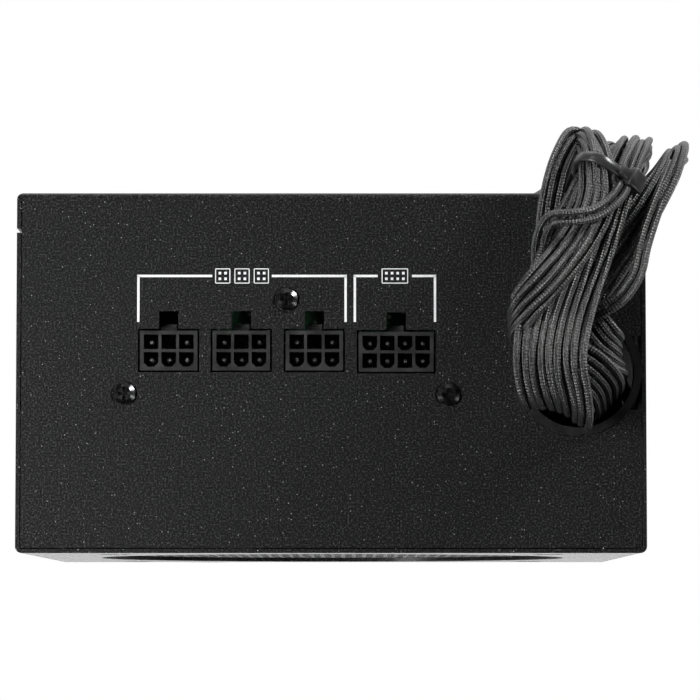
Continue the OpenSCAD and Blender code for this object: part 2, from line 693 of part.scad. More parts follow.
// Crimp housing: open cells at +X, wires at -X, latch on top
module plug(cols, latch_at) {
    w = cols * pin_pitch + plug_wall;
    h = 2 * pin_pitch + 1;
    difference() {
        translate([0, -w / 2, -h / 2]) cube([plug_l, w, h]);
        for (c = cells(cols)) translate([plug_l - 9, cell_at(cols, c)[0], cell_at(cols, c)[1]])
            translate([0, -plug_cell / 2, -plug_cell / 2]) cube([10, plug_cell, plug_cell]);
    }
    for (y = latch_at) {
        translate([8, y - 1.5, h / 2 - 0.1]) cube([3, 3, 1.4]);
        translate([1, y - 1.8, h / 2 + 1.2]) cube([18, 3.6, 1.1]);
        translate([17.4, y - 1.8, h / 2 + 0.3]) cube([1.6, 3.6, 1]);
    }
}

// Side by side halves of the mainboard plug
atx_plug_at = [34.1, 160.5, 6.6];
cpu_plug_at = [10.1, 177, 6.6];
graphics_plug_at = [8.1, 143.5, 6.6];
plug_joint = 0.15;
cpu_half = pin_pitch + (plug_wall + plug_joint) / 2;

module plug_part(at, y, cols, latch_at) color([0.06, 0.06, 0.06])
    translate(at + [0, y, 0]) plug(cols, latch_at);

module atx_plug_20() plug_part(atx_plug_at, -pin_pitch, 10, [0]);
module atx_plug_4() plug_part(atx_plug_at, 5 * pin_pitch + plug_wall + plug_joint, 2, []);
module cpu_plug_left() plug_part(cpu_plug_at, -cpu_half, 2, [0.8]);
module cpu_plug_right() plug_part(cpu_plug_at, cpu_half, 2, [-0.8]);
module graphics_plug_6() plug_part(graphics_plug_at, -pin_pitch / 2, 3, [0]);
module graphics_plug_2() plug_part(graphics_plug_at, 1.5 * pin_pitch + plug_wall + plug_joint, 1, []);

// ---------------------------------------------------------------- nodes

chassis_tray();
fan_cover();
fan_grille();
cover_screws();
panel_screws();
fan_screws();
cable_grommet();
fan_frame();
fan_bearing();
fan_stator();
fan_rotor();
fan_shaft();
ac_inlet();
inlet_pins();
switch_housing();
switch_rocker();
main_board();
board_standoffs();
board_screws();
insulation_sheet();
modular_board();
panel_spacers();
modular_board_screws();
socket_1();
socket_2();
socket_3();
socket_4();
socket_pins();
bulk_capacitor();
main_transformer();
standby_transformer();
pfc_choke();
line_choke();
x_capacitors();
bridge_rectifier();
line_fuse();
primary_heatsink();
secondary_heatsink();
power_transistors();
output_chokes();
output_capacitors();
output_harness();
fan_lead();
ac_leads();
atx_cable();
cpu_cable();
graphics_cable();
cable_tie();
hank_strap();
atx_plug_20();
atx_plug_4();
cpu_plug_left();
cpu_plug_right();
graphics_plug_6();
graphics_plug_2();
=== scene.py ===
import math

import bmesh
import bpy
import numpy as np
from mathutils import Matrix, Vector


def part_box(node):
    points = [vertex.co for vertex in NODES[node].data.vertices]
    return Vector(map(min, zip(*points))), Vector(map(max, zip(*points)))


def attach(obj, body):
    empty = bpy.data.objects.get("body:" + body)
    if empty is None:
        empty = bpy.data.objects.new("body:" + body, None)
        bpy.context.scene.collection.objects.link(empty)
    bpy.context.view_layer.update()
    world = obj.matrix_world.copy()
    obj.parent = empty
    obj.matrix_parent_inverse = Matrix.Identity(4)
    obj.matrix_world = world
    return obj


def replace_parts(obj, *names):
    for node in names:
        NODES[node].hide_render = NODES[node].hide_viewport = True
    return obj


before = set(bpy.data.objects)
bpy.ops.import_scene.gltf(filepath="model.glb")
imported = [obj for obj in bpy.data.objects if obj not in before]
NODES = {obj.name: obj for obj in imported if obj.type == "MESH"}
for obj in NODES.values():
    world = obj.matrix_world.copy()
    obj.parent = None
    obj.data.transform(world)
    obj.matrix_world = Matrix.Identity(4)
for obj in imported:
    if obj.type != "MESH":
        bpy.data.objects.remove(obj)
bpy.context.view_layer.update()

MM = 0.001
SEED = 7
FLOOR_HALF = 3.0
FLOOR_Z = -0.0004
FRONT_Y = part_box("chassis_tray")[0].y / MM
BACK_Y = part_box("chassis_tray")[1].y / MM


def centre_of(node):
    """Middle of a CAD node's box, in millimetres."""
    low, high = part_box(node)
    return np.array((low + high) / 2) / MM


# ------------------------------------------------------------------ camera, light and floor


def camera():
    """Looks squarely at the cable panel from a little below the level of the floor."""
    aim = Vector((4.5, FRONT_Y, 48.3)) * MM
    eye = Vector((4.5, FRONT_Y - 900, -16)) * MM
    data = bpy.data.cameras.new("camera")
    data.sensor_width = 36
    seen_width = 166.7 * MM
    data.lens = data.sensor_width * (aim - eye).length / seen_width
    data.clip_start = 0.01
    data.clip_end = 20
    obj = bpy.data.objects.new("camera", data)
    bpy.context.collection.objects.link(obj)
    obj.location = eye
    obj.rotation_euler = (aim - eye).to_track_quat("-Z", "Y").to_euler()
    bpy.context.scene.camera = obj


def area_light(name, place, size, watts):
    """Softbox that faces the middle of the case. size is its width and height."""
    data = bpy.data.lights.new(name, "AREA")
    data.shape = "RECTANGLE"
    data.size, data.size_y = size
    data.energy = watts
    obj = bpy.data.objects.new(name, data)
    bpy.context.collection.objects.link(obj)
    obj.location = place
    middle = Vector((0, 0, 0.045))
    obj.rotation_euler = (middle - Vector(place)).to_track_quat("-Z", "Y").to_euler()


def add_nodes(tree, *kinds):
    """Empties a node tree and adds nodes of these kinds."""
    tree.nodes.clear()
    return [tree.nodes.new(f"ShaderNode{kind}") for kind in kinds]


def studio():
    """White backdrop for the eye, and a soft room that is dimmer on the cable side for the object."""
    world = bpy.data.worlds.new("studio")
    bpy.context.scene.world = world
    world.use_nodes = True
    place, axes, ramp, room, backdrop, path, mix, out = add_nodes(
        world.node_tree, "TexCoord", "SeparateXYZ", "MapRange", "Background", "Background", "LightPath",
        "MixShader", "OutputWorld")
    ramp.interpolation_type = "SMOOTHSTEP"
    for key, value in (("From Min", -0.1), ("From Max", 0.75), ("To Min", 0.02), ("To Max", 0.95)):
        ramp.inputs[key].default_value = value
    for node in (room, backdrop):
        node.inputs["Color"].default_value = (1, 1, 1, 1)
    link = world.node_tree.links.new
    link(place.outputs["Generated"], axes.inputs[0])
    link(axes.outputs["Y"], ramp.inputs["Value"])
    link(ramp.outputs["Result"], room.inputs["Strength"])
    link(path.outputs["Is Camera Ray"], mix.inputs[0])
    link(room.outputs[0], mix.inputs[1])
    link(backdrop.outputs[0], mix.inputs[2])
    link(mix.outputs[0], out.inputs[0])
    area_light("strip_left", (-0.37, -0.42, -0.03), (0.09, 0.24), 3.3)
    area_light("key_left", (-0.5, -0.8, 0.8), (0.42, 0.42), 2.2)
    area_light("key_right", (0.45, -0.2, 0.45), (0.1, 0.22), 3.3)
    area_light("low_right", (0.5, -0.3, -0.16), (0.1, 0.1), 0.45)
    area_light("front", (-0.36, -0.66, 0.1), (0.1, 0.1), 0.4)
    area_light("top", (0.0, 0.25, 1.3), (1.0, 0.8), 6)
    area_light("low_back", (0.0, 1.1, -0.25), (1.2, 0.3), 3.4)


def floor():
    """Pale floor that lights and the object's own rays pass, seen only from above."""
    mesh = bpy.data.meshes.new("floor")
    corners = [(x * FLOOR_HALF, y * FLOOR_HALF, FLOOR_Z) for x, y in ((-1, -1), (1, -1), (1, 1), (-1, 1))]
    mesh.from_pydata(corners, [], [(0, 1, 2, 3)])
    obj = bpy.data.objects.new("floor", mesh)
    bpy.context.collection.objects.link(obj)
    mat = bpy.data.materials.new("floor")
    mat.use_nodes = True
    top, clear, side, mix, out = add_nodes(
        mat.node_tree, "BsdfDiffuse", "BsdfTransparent", "NewGeometry", "MixShader", "OutputMaterial")
    top.inputs["Color"].default_value = (0.82, 0.82, 0.82, 1)
    link = mat.node_tree.links.new
    link(side.outputs["Backfacing"], mix.inputs[0])
    link(top.outputs[0], mix.inputs[1])
    link(clear.outputs[0], mix.inputs[2])
    link(mix.outputs[0], out.inputs[0])
    mesh.materials.append(mat)
    for ray in ("diffuse", "glossy", "transmission", "shadow"):
        setattr(obj, f"visible_{ray}", False)


# ------------------------------------------------------------------ material tools


class Look:
    """A Principled material with short calls for its nodes."""

    def __init__(self, name, **sockets):
        self.mat = bpy.data.materials.new(name)
        self.mat.use_nodes = True
        self.tree = self.mat.node_tree
        self.bsdf = self.tree.nodes["Principled BSDF"]
        self.coord = self.add("ShaderNodeTexCoord").outputs["Object"]
        for key, value in sockets.items():
            self.set(key.replace("_", " "), value)

    def feed(self, socket, value):
        """Links another node's output to a socket, or sets the socket's own value."""
        if isinstance(value, bpy.types.NodeSocket):
            self.tree.links.new(value, socket)
        elif isinstance(value, tuple) and socket.type == "RGBA":
            socket.default_value = (*value, 1)
        else:
            socket.default_value = value

    def set(self, socket, value):
        self.feed(self.bsdf.inputs[socket], value)

    def add(self, kind, settings=None, **inputs):
        node = self.tree.nodes.new(kind)
        for key, value in (settings or {}).items():
            setattr(node, key, value)
        for key, value in inputs.items():
            self.feed(node.inputs[key.replace("_", " ")], value)
        return node

    def noise(self, scale, detail=2.0, rough=0.5, vector=None):
        node = self.add("ShaderNodeTexNoise", Vector=vector or self.coord, Scale=scale, Detail=detail,
                        Roughness=rough)
        return node.outputs["Fac"]

    def maths(self, operation, a, b=0.0, c=0.0):
        node = self.tree.nodes.new("ShaderNodeMath")
        node.operation = operation
        for socket, value in zip(node.inputs, (a, b, c)):
            self.feed(socket, value)
        return node.outputs[0]

    def span(self, value, low, high, to_low=0.0, to_high=1.0):
        node = self.add("ShaderNodeMapRange", Value=value)
        for key, number in (("From Min", low), ("From Max", high), ("To Min", to_low), ("To Max", to_high)):
            node.inputs[key].default_value = number
        return node.outputs["Result"]

    def mix(self, factor, a, b):
        node = self.tree.nodes.new("ShaderNodeMix")
        node.data_type = "RGBA"
        for i, value in ((0, factor), (6, a), (7, b)):
            self.feed(node.inputs[i], value)
        return node.outputs[2]

    def bump(self, height, strength, distance):
        node = self.add("ShaderNodeBump", Height=height, Strength=strength, Distance=distance)
        self.set("Normal", node.outputs[0])


def powder_coat():
    """Fine sandy black powder coat, with pale specks painted into its colour as sparkle glints."""
    look = Look("powder_coat", IOR=1.5)
    grain = look.noise(2300, 2, 0.55)
    cloud = look.noise(420, 2, 0.5)
    base = look.mix(look.span(grain, 0.49, 0.66), (0.0003, 0.0003, 0.0004), (0.042, 0.042, 0.043))
    base = look.mix(look.span(cloud, 0.35, 0.7, 0, 0.4), base, (0.006, 0.006, 0.0063))
    # Painted glints: sparse pale specks in the base colour that stand in for the coat's sparkle.
    cells = look.add("ShaderNodeTexVoronoi", Vector=look.coord, Scale=1500)
    near = look.maths("LESS_THAN", cells.outputs["Distance"], 0.19)
    tone = look.add("ShaderNodeSeparateColor", Color=cells.outputs["Color"])
    chosen = look.maths("GREATER_THAN", tone.outputs[0], 0.82)
    glint_spot = look.maths("MULTIPLY", near, chosen)
    painted_glint = look.maths("MULTIPLY", glint_spot, look.span(tone.outputs[1], 0, 1, 0.15, 1))
    look.set("Base Color", look.mix(painted_glint, base, (0.3, 0.3, 0.31)))
    look.set("Roughness", look.span(grain, 0.3, 0.75, 0.66, 0.46))
    look.set("Specular IOR Level", 0.16)
    look.set("Coat Weight", 0.25)
    look.set("Coat Roughness", 0.25)
    height = look.maths("ADD", look.maths("MULTIPLY", grain, 0.8), look.maths("MULTIPLY", cloud, 0.5))
    look.bump(height, 0.9, 0.0003)
    return look.mat


def plastic(name, colour, rough, grain_scale=3200, strength=0.12):
    """Moulded plastic with a faint texture and uneven gloss."""
    look = Look(name, IOR=1.5)
    grain = look.noise(grain_scale, 2, 0.5)
    cloud = look.noise(260, 3, 0.55)
    lighter = tuple(min(1, c * 1.7 + 0.004) for c in colour)
    look.set("Base Color", look.mix(look.span(cloud, 0.3, 0.7), colour, lighter))
    look.set("Roughness", look.span(cloud, 0.3, 0.7, rough - 0.06, rough + 0.08))
    look.bump(grain, strength, 0.00005)
    return look.mat


def metal(name, colour, rough, scratch=(60, 1800, 1800), strength=0.15, metallic=1.0):
    """Plated or drawn metal with fine lines along X and small stains."""
    look = Look(name, Metallic=metallic)
    stretch = look.add("ShaderNodeMapping", Vector=look.coord)
    stretch.inputs["Scale"].default_value = scratch
    lines = look.noise(1.0, 2, 0.6, vector=stretch.outputs[0])
    stain = look.noise(180, 3, 0.6)
    darker = tuple(c * 0.72 for c in colour)
    look.set("Base Color", look.mix(look.span(stain, 0.35, 0.75), colour, darker))
    look.set("Roughness", look.span(lines, 0.3, 0.7, rough - 0.07, rough + 0.1))
    look.bump(lines, strength, 0.00004)
    return look.mat


def braid(name, dark, light, strands, pitch):
    """Braided sleeve that follows the wire: u runs once round it, v along it in millimetres. Its colour holds
    painted shade in the weave's grooves and painted highlight on its ridges.
    """
    look = Look(name, IOR=1.65)
    uv = look.add("ShaderNodeUVMap", {"uv_map": "weave"})
    axes = look.add("ShaderNodeSeparateXYZ", Vector=uv.outputs[0])
    turn = look.maths("MULTIPLY", axes.outputs[0], 2 * math.pi * strands)
    along = look.maths("MULTIPLY", axes.outputs[1], 2 * math.pi / pitch)
    one = look.maths("SINE", look.maths("ADD", turn, along))
    two = look.maths("SINE", look.maths("SUBTRACT", turn, along))
    cross = look.maths("MULTIPLY", one, two)
    fray = look.noise(1500, 2, 0.6)
    height = look.maths("ADD", look.maths("MULTIPLY", cross, 0.5), look.maths("MULTIPLY", fray, 0.35))
    # Painted shade and highlight: the weave is coloured dark in its low grooves and light on its raised
    # ridges.
    tone = look.span(height, 0.05, 0.6)
    look.set("Base Color", look.mix(tone, dark, light))
    look.set("Roughness", look.span(tone, 0, 1, 0.45, 0.24))
    look.set("Specular IOR Level", 0.75)
    look.bump(height, 0.9, 0.00028)
    return look.mat


# ------------------------------------------------------------------ mesh tools


def mesh_object(name, verts, faces, mat, uvs=None, smooth=True):
    mesh = bpy.data.meshes.new(name)
    mesh.from_pydata([tuple(v) for v in np.asarray(verts) * MM], [], faces)
    if uvs is not None:
        layer = mesh.uv_layers.new(name="weave")
        layer.data.foreach_set("uv", np.asarray(uvs, dtype=np.float32).ravel())
    mesh.polygons.foreach_set("use_smooth", [smooth] * len(mesh.polygons))
    mesh.update()
    obj = bpy.data.objects.new(name, mesh)
    bpy.context.collection.objects.link(obj)
    mesh.materials.append(mat)
    return obj


def smooth_line(points, step):
    """Centripetal Catmull-Rom line through points, resampled evenly. Also gives each sample's place in the
    list of points, and how far along it is."""
    p = np.array(points, float)
    p = np.vstack([2 * p[0] - p[1], p, 2 * p[-1] - p[-2]])
    knots = np.concatenate([[0], np.cumsum(np.linalg.norm(np.diff(p, axis=0), axis=1) ** 0.5)])
    line, place = [], []
    for i in range(1, len(p) - 2):
        for t in np.linspace(knots[i], knots[i + 1], 24, endpoint=False):
            a = [lerp(p[j], p[j + 1], knots[j], knots[j + 1], t) for j in (i - 1, i, i + 1)]
            b = [lerp(a[j], a[j + 1], knots[i - 1 + j], knots[i + 1 + j], t) for j in (0, 1)]
            line.append(lerp(b[0], b[1], knots[i], knots[i + 1], t))
            place.append(i - 1 + (t - knots[i]) / (knots[i + 1] - knots[i]))
    line.append(p[-2])
    place.append(len(points) - 1)
    line = np.array(line)
    far = np.concatenate([[0], np.cumsum(np.linalg.norm(np.diff(line, axis=0), axis=1))])
    even = np.linspace(0, far[-1], int(far[-1] / step) + 1)
    spaced = np.stack([np.interp(even, far, line[:, k]) for k in range(3)], 1)
    return spaced, np.interp(even, far, place), even


def lerp(a, b, low, high, t):
    return a + (b - a) * (t - low) / (high - low)


def unit(v):
    return v / np.linalg.norm(v, axis=-1, keepdims=True)


def tube(line, radius, side, sides=10):
    """Verts, faces and corner UVs of a capped tube. side is a rough sideways direction for each ring."""
    t = unit(np.gradient(line, axis=0))
    u = unit(side - np.sum(side * t, 1, keepdims=True) * t)
    w = np.cross(t, u)
    angle = np.linspace(0, 2 * math.pi, sides, endpoint=False)
    radius = np.broadcast_to(np.asarray(radius, float), (len(line),))[:, None, None]
    ring = np.cos(angle)[None, :, None] * u[:, None] + np.sin(angle)[None, :, None] * w[:, None]
    verts = (line[:, None] + radius * ring).reshape(-1, 3)
    far = np.concatenate([[0], np.cumsum(np.linalg.norm(np.diff(line, axis=0), axis=1))])
    faces, uvs = [], []
    for i in range(len(line) - 1):
        for k in range(sides):
            n = (k + 1) % sides
            faces.append((i * sides + k, i * sides + n, (i + 1) * sides + n, (i + 1) * sides + k))
            low, high = k / sides, (k + 1) / sides
            uvs += [(low, far[i]), (high, far[i]), (high, far[i + 1]), (low, far[i + 1])]
    for ring_start, order in ((0, range(sides - 1, -1, -1)), ((len(line) - 1) * sides, range(sides))):
        faces.append(tuple(ring_start + k for k in order))
        uvs += [(0.5, 0.5)] * sides
    return verts, faces, uvs


def join_parts(parts):
    """Several (verts, faces, uvs) as one."""
    verts, faces, uvs, base = [], [], [], 0
    for v, f, c in parts:
        verts.append(v)
        faces += [tuple(i + base for i in face) for face in f]
        uvs += c
        base += len(v)
    return np.vstack(verts), faces, uvs


# ------------------------------------------------------------------ fixed cables

# all in millimetres
WIRE_R = 0.88
FLAT_PITCH = 1.93
ROUND_PITCH = 1.95
STEP = 1.3
TWIST_LENGTH = 160
DRIFT_ACROSS = 0.22
DRIFT_THROUGH = 0.13


def ribbon_layout(rows, pitch):
    """Wires in staggered rows, as offsets across the ribbon and through it."""
    thick = pitch * math.sqrt(3) / 2
    return np.array([((k - (count - 1) / 2) * pitch, ((len(rows) - 1) / 2 - j) * thick)
                     for j, count in enumerate(rows) for k in range(count)])


def round_layout(count, pitch):
    """The same number of wires packed into a round bundle."""
    thick = pitch * math.sqrt(3) / 2
    spots = [((i + (j % 2) / 2) * pitch, j * thick) for i in range(-5, 6) for j in range(-5, 6)]
    spots.sort(key=lambda s: (s[0] - 0.3) ** 2 + (s[1] - 0.2) ** 2)
    spots = np.array(spots[:count])
    return spots - spots.mean(0)


def matched(flat, packed):
    """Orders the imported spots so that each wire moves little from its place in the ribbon."""
    left = list(range(len(packed)))
    order = np.empty(len(flat), int)
    scale = np.ptp(packed[:, 0]) / np.ptp(flat[:, 0])
    for i in np.argsort(-np.abs(flat[:, 0])):
        aim = flat[i] * (scale, 1)
        best = min(left, key=lambda j: np.sum((packed[j] - aim) ** 2))
        order[i] = best
        left.remove(best)
    return packed[order]


def ease(x):
    x = np.clip(x, 0, 1)
    return x * x * (3 - 2 * x)


def wander(far, rng, size):
    """Slow sideways drift of one wire along its length."""
    drift = np.zeros(len(far))
    for wave in (23, 41, 77):
        height = size * rng.uniform(0.3, 1) * wave / 60
        drift += height * np.sin(far * 2 * math.pi / wave + rng.uniform(0, 6.28))
    return drift


class Bundle:
    """A cable of several wires along a route. Each route point has the way its thin side faces, and how flat
    the cable is there."""

    def __init__(self, route, faces, flatness, rows, seed):
        self.line, place, self.far = smooth_line(route, STEP)
        index = np.arange(len(route))
        thin = np.stack([np.interp(place, index, np.array(faces, float)[:, k]) for k in range(3)], 1)
        t = unit(np.gradient(self.line, axis=0))
        self.thin = unit(thin - np.sum(thin * t, 1, keepdims=True) * t)
        across = np.cross(t, self.thin)
        flat = ribbon_layout(rows, FLAT_PITCH)
        packed = matched(flat, round_layout(len(flat), ROUND_PITCH))
        share = ease(np.interp(place, index, flatness))[:, None]
        rng = np.random.default_rng(seed)
        twist = self.far / TWIST_LENGTH
        self.wires = []
        for a, b in zip(flat, packed):
            turned = np.stack([b[0] * np.cos(twist) - b[1] * np.sin(twist),
                               b[0] * np.sin(twist) + b[1] * np.cos(twist)], 1)
            spot = share * a + (1 - share) * turned
            side = spot[:, 0] + wander(self.far, rng, DRIFT_ACROSS)
            up = spot[:, 1] + wander(self.far, rng, DRIFT_THROUGH)
            self.wires.append(self.line + across * side[:, None] + self.thin * up[:, None])

    def plug_in(self, cells, spread):
        """Leads each wire over the last stretch to its own cell, given as [y, z] pairs on plugs facing +X."""
        share = ease((self.far - (self.far[-1] - spread)) / (spread - 4))[:, None]
        order = sorted(range(len(self.wires)), key=lambda i: self.wires[i][-1][1])
        cells = sorted(cells)
        for k in range(0, len(order), 2):
            pair = sorted(order[k:k + 2], key=lambda i: self.wires[i][-1][2])
            for wire, (y, z) in zip(pair, cells[k:k + 2]):
                into = np.tile((0.0, y, z), (len(self.line), 1))
                into[:, 0] = self.line[:, 0] + 0.6
                self.wires[wire] = (1 - share) * self.wires[wire] + share * into

    def tubes(self, wires):
        return [tube(w, WIRE_R, np.resize(self.thin[-len(w):], w.shape)) for w in wires]


def wire_piece(name, tubes, mat):
    verts, faces, uvs = join_parts(tubes)
    obj = mesh_object(name, verts, faces, mat, uvs)
    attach(obj, "case")
    return obj


def loose_wires(name, route, facing, rows, seed, mat):
    """Wires that leave a cable for a short way and join it again."""
    bundle = Bundle(route, [facing] * len(route), [1] * len(route), rows, seed)
    return wire_piece(name, bundle.tubes(bundle.wires), mat)


UP = (0, 0, 1)
OUT = (0, -1, 0)
BACK = (0, 1, 0)
DOWN = (0, 0, -1)

ATX_ROUTE = [
    (56.6, -62, 38.6), (56.6, -71, 37.2), (56, -78.6, 35.4), (54.2, -85.4, 34.9), (51.9, -90, 38.4),
    (50.7, -91.8, 45), (51.7, -90.6, 52.5), (54.6, -86.5, 62), (58.3, -83.7, 71.5), (62.5, -81.2, 81),
    (66.3, -78.3, 89.5), (70.5, -71.5, 95.6), (72.7, -61, 96.3), (71, -47, 93.8), (67, -31, 92),
    (63.5, -12, 92), (60.5, 30, 92), (54, 53, 92.2), (48, 69, 93.6), (44.5, 80, 87),
    (43, 84.5, 70), (42.5, 86, 42), (39, 91, 17), (26, 99, 8), (6, 100.5, 7),
    (-36, 100.5, 7), (-57, 109, 7), (-66, 130, 7), (-58, 151, 7), (-38, 160.5, 7),
    (-14, 160.5, 7), (34, 160.5, 6.6),
]
ATX_FACES = ([(-0.6, 0, -0.8)] * 2 + [(-0.6, -0.3, -0.75), (-0.45, -0.75, -0.45), (-0.15, -1, 0)] + [OUT] * 4
             + [(0, -0.95, 0.3), (0, -0.8, 0.6), (0, -0.4, 0.9)] + [UP] * 7
             + [(0, 0.5, 1)] + [BACK] * 2 + [(0, 0.8, 0.5)] + [UP] * 9)
ATX_FLAT = [0.5, 0.55, 0.8, 0.95, 1, 1, 1, 0.95, 0.9, 0.75, 0.65, 0.5, 0.3] + [0] * 16 + [0, 0.3, 1]
CPU_ROUTE = [
    (65.4, -62, 36.2), (65.6, -71, 36.6), (64.8, -77.5, 39.8), (60, -81.5, 43.8), (53, -81.6, 46.6),
    (46.8, -82.5, 49), (43, -87.4, 52.4), (44.4, -93, 56.4), (49.3, -95.2, 62), (54.5, -94.2, 68),
    (59.1, -92, 74.8), (62.2, -89.8, 83), (62.2, -87.1, 90.8), (61.3, -79.5, 97.2), (60.3, -69, 98.9),
    (59, -57, 95.4), (57, -42, 91.2), (54.5, -24, 89.7), (46, 18, 89.7), (36, 52, 90),
    (31.5, 70, 91), (29.3, 78.5, 80), (28.5, 79.5, 44), (26.5, 82, 19), (18, 88.5, 6.5),
    (0, 90.5, 4.5), (-36, 90.5, 4.5), (-60, 98.5, 4.5), (-75, 120, 4.5), (-74, 144, 4.5),
    (-58, 164, 4.5), (-36, 171, 4.5), (-14, 173.5, 5.2), (10, 177, 6.6),
]
CPU_FACES = ([(0.7, 0, -0.7)] * 2 + [(0.4, -0.8, -0.4), OUT, OUT, (0.5, -0.85, 0), (1, 0, 0), (0.6, 0.8, 0)]
             + [BACK] * 3 + [(0, 0.95, -0.3), (0, 0.9, -0.4), (0, 0.6, -0.8), (0, 0.1, -1)] + [DOWN] * 5
             + [(0, -0.5, -1), OUT, OUT, (0, -0.8, -0.5)] + [DOWN] * 10)
CPU_FLAT = [0.8] + [1] * 10 + [0.9, 0.7, 0.4, 0.2] + [0] * 17 + [0.3, 1]
GRAPHICS_ROUTE = [
    (67.4, -62, 45.6), (67.7, -71, 45.6), (66.8, -77.6, 47.4), (63.8, -80.5, 50.6), (61, -81, 54.9),
    (61.1, -80.2, 60.4), (64.7, -79, 66.8), (69.4, -78.8, 73.6), (74.6, -79.2, 81.3), (79.6, -76.8, 89.2),
    (82.8, -71, 94.6), (83.3, -62, 95.8), (80.5, -48, 92.8), (76, -30, 89.7), (73.5, -10, 89.7),
    (70.8, 30, 89.7), (65, 52, 89.8), (57.5, 72.5, 90.2), (55, 78.8, 80), (54.5, 81, 50),
    (51, 89, 21), (42, 101, 8), (26, 109.5, 4.5), (4, 110.5, 4.5), (-36, 110.5, 4.5),
    (-51, 117.5, 4.5), (-56, 130.5, 4.5), (-50, 144.5, 4.5), (-34, 149, 4.7), (8, 143.5, 6.6),
]
GRAPHICS_FACES = ([(0.7, 0, 0.4), (0.7, -0.2, 0.3), (0.4, -0.8, 0.2)] + [OUT] * 5
                  + [(0, -0.9, 0.3), (0, -0.8, 0.5), (0, -0.4, 1)] + [UP] * 6
                  + [(0, 0.6, 1)] + [BACK] * 2 + [(0, 0.8, 0.5)] + [UP] * 9)
GRAPHICS_FLAT = [0.7, 0.9, 1, 0.9, 0.8, 0.6, 0.8, 0.8, 0.6, 0.5, 0.3] + [0] * 17 + [0.3, 1]


PIN_PITCH = 4.2
FAN_OUT = 34
CORE_HALF = 8.5
HARNESS_END = (48.5, -38)
SAG_LOW = 29.8
PLUGS = {
    "atx": ["atx_plug_20", "atx_plug_4"],
    "cpu": ["cpu_plug_left", "cpu_plug_right"],
    "graphics": ["graphics_plug_6", "graphics_plug_2"],
}


def plug_cells(nodes):
    """Cells of side by side plugs as [y, z], worked out from the housings' boxes."""
    cells = []
    for node in nodes:
        low, high = (np.array(p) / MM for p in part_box(node))
        cols = round((high[1] - low[1] - 0.9) / PIN_PITCH)
        middle = (low[1] + high[1]) / 2
        base = low[2] + (2 * PIN_PITCH + 1) / 2
        cells += [(middle + (c - (cols - 1) / 2) * PIN_PITCH, base + (r - 0.5) * PIN_PITCH)
                  for c in range(cols) for r in (0, 1)]
    return cells


PAIR_ROUTE = [
    (69, -83, 88.6), (68.6, -88, 85.6), (65.8, -92.5, 81.8), (61, -95, 78.6), (55.6, -95, 77.8),
    (51.6, -92.8, 77.5), (49.6, -88.8, 74.8), (49, -84, 70), (50.2, -80.5, 64), (53.5, -79.5, 57),
]
LEFT_ROUTE = [
    (58, -79.8, 46), (51.5, -78.6, 51.5), (49.3, -78.3, 60), (50.6, -78.4, 72), (51.8, -78.4, 83),
    (54, -76.8, 92), (57.3, -71.5, 98.5), (59.3, -63, 98.6), (58.6, -55, 95.8),
]
BOW_ROUTE = [
    (60.5, -81.5, 55), (63.6, -83, 56.8), (68.2, -83.8, 60), (71.8, -83.8, 65.4), (73.4, -83.2, 72),
    (75.6, -82, 78.5), (78.8, -79.6, 86), (81.8, -75, 92.5),
]


def fixed_cables(sleeve):
    """The three cables with their plugs."""
    kinds = {
        "atx": (ATX_ROUTE, ATX_FACES, ATX_FLAT, (9, 8, 7), 0.013),
        "cpu": (CPU_ROUTE, CPU_FACES, CPU_FLAT, (5, 3), 0.0112),
        "graphics": (GRAPHICS_ROUTE, GRAPHICS_FACES, GRAPHICS_FLAT, (5, 3), 0.0112),
    }
    extra = {
        "atx": [loose_wires("atx_loose_pair", PAIR_ROUTE, OUT, (2,), SEED + 11, sleeve)],
        "cpu": [loose_wires("cpu_loose_wires", LEFT_ROUTE, OUT, (3, 2), SEED + 12, sleeve)],
        "graphics": [loose_wires("graphics_loose_wires", BOW_ROUTE, OUT, (2,), SEED + 13, sleeve)],
    }
    bundles = {}
    for i, (kind, (route, faces, flat, rows, width)) in enumerate(kinds.items()):
        plugs = PLUGS[kind]
        bundle = Bundle(route, faces, flat, rows, SEED + i)
        bundle.plug_in(plug_cells(plugs), FAN_OUT)
        middle = bundle.line[-1][1]
        inner = [w for w in bundle.wires if abs(w[-1][1] - middle) < CORE_HALF]
        outer = [w for w in bundle.wires if abs(w[-1][1] - middle) >= CORE_HALF]
        cut = int(FAN_OUT / STEP)
        obj = wire_piece(f"{kind}_wires", bundle.tubes(inner + [w[:-cut] for w in outer]), sleeve)
        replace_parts(obj, f"{kind}_cable")
        if outer:
            ends = bundle.tubes([w[-cut - 2:] for w in outer])
            extra[kind].append(wire_piece(f"{kind}_fan_out", ends, sleeve))
        bundles[kind] = bundle
    return bundles


def inner_wires(bundles, sleeve):
    """The same wires inside the case, which sag behind the grommet and rise to the main board."""
    low, high = (np.array(p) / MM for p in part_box("output_harness"))
    starts = np.array([w[0] for b in bundles.values() for w in b.wires])
    ends = matched(starts[:, [0, 2]] - starts[:, [0, 2]].mean(0), round_layout(len(starts), 2.5))
    rng = np.random.default_rng(SEED + 21)
    x, y = HARNESS_END
    tubes = []
    for start, (u, v) in zip(starts, ends):
        sag = max(start[2] - rng.uniform(4, 8), SAG_LOW + rng.uniform(0, 1.5))
        side = start[0] + 0.35 * (start[0] - starts[:, 0].mean())
        line, _, _ = smooth_line([start, ((start[0] + side) / 2, start[1] + 7, (start[2] + sag) / 2),
                                  (side, start[1] + 13, sag),
                                  ((side + x) / 2 + u / 2, y + v, (sag + high[2]) / 2 - 6),
                                  (x + u, y + v, high[2] - 12), (x + u, y + v, high[2])], STEP)
        tubes.append(tube(line, WIRE_R, np.tile((1.0, 0.0, 0.3), (len(line), 1)), 8))
    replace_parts(wire_piece("output_harness_wires", tubes, sleeve), "output_harness")


# ------------------------------------------------------------------ tie and strap


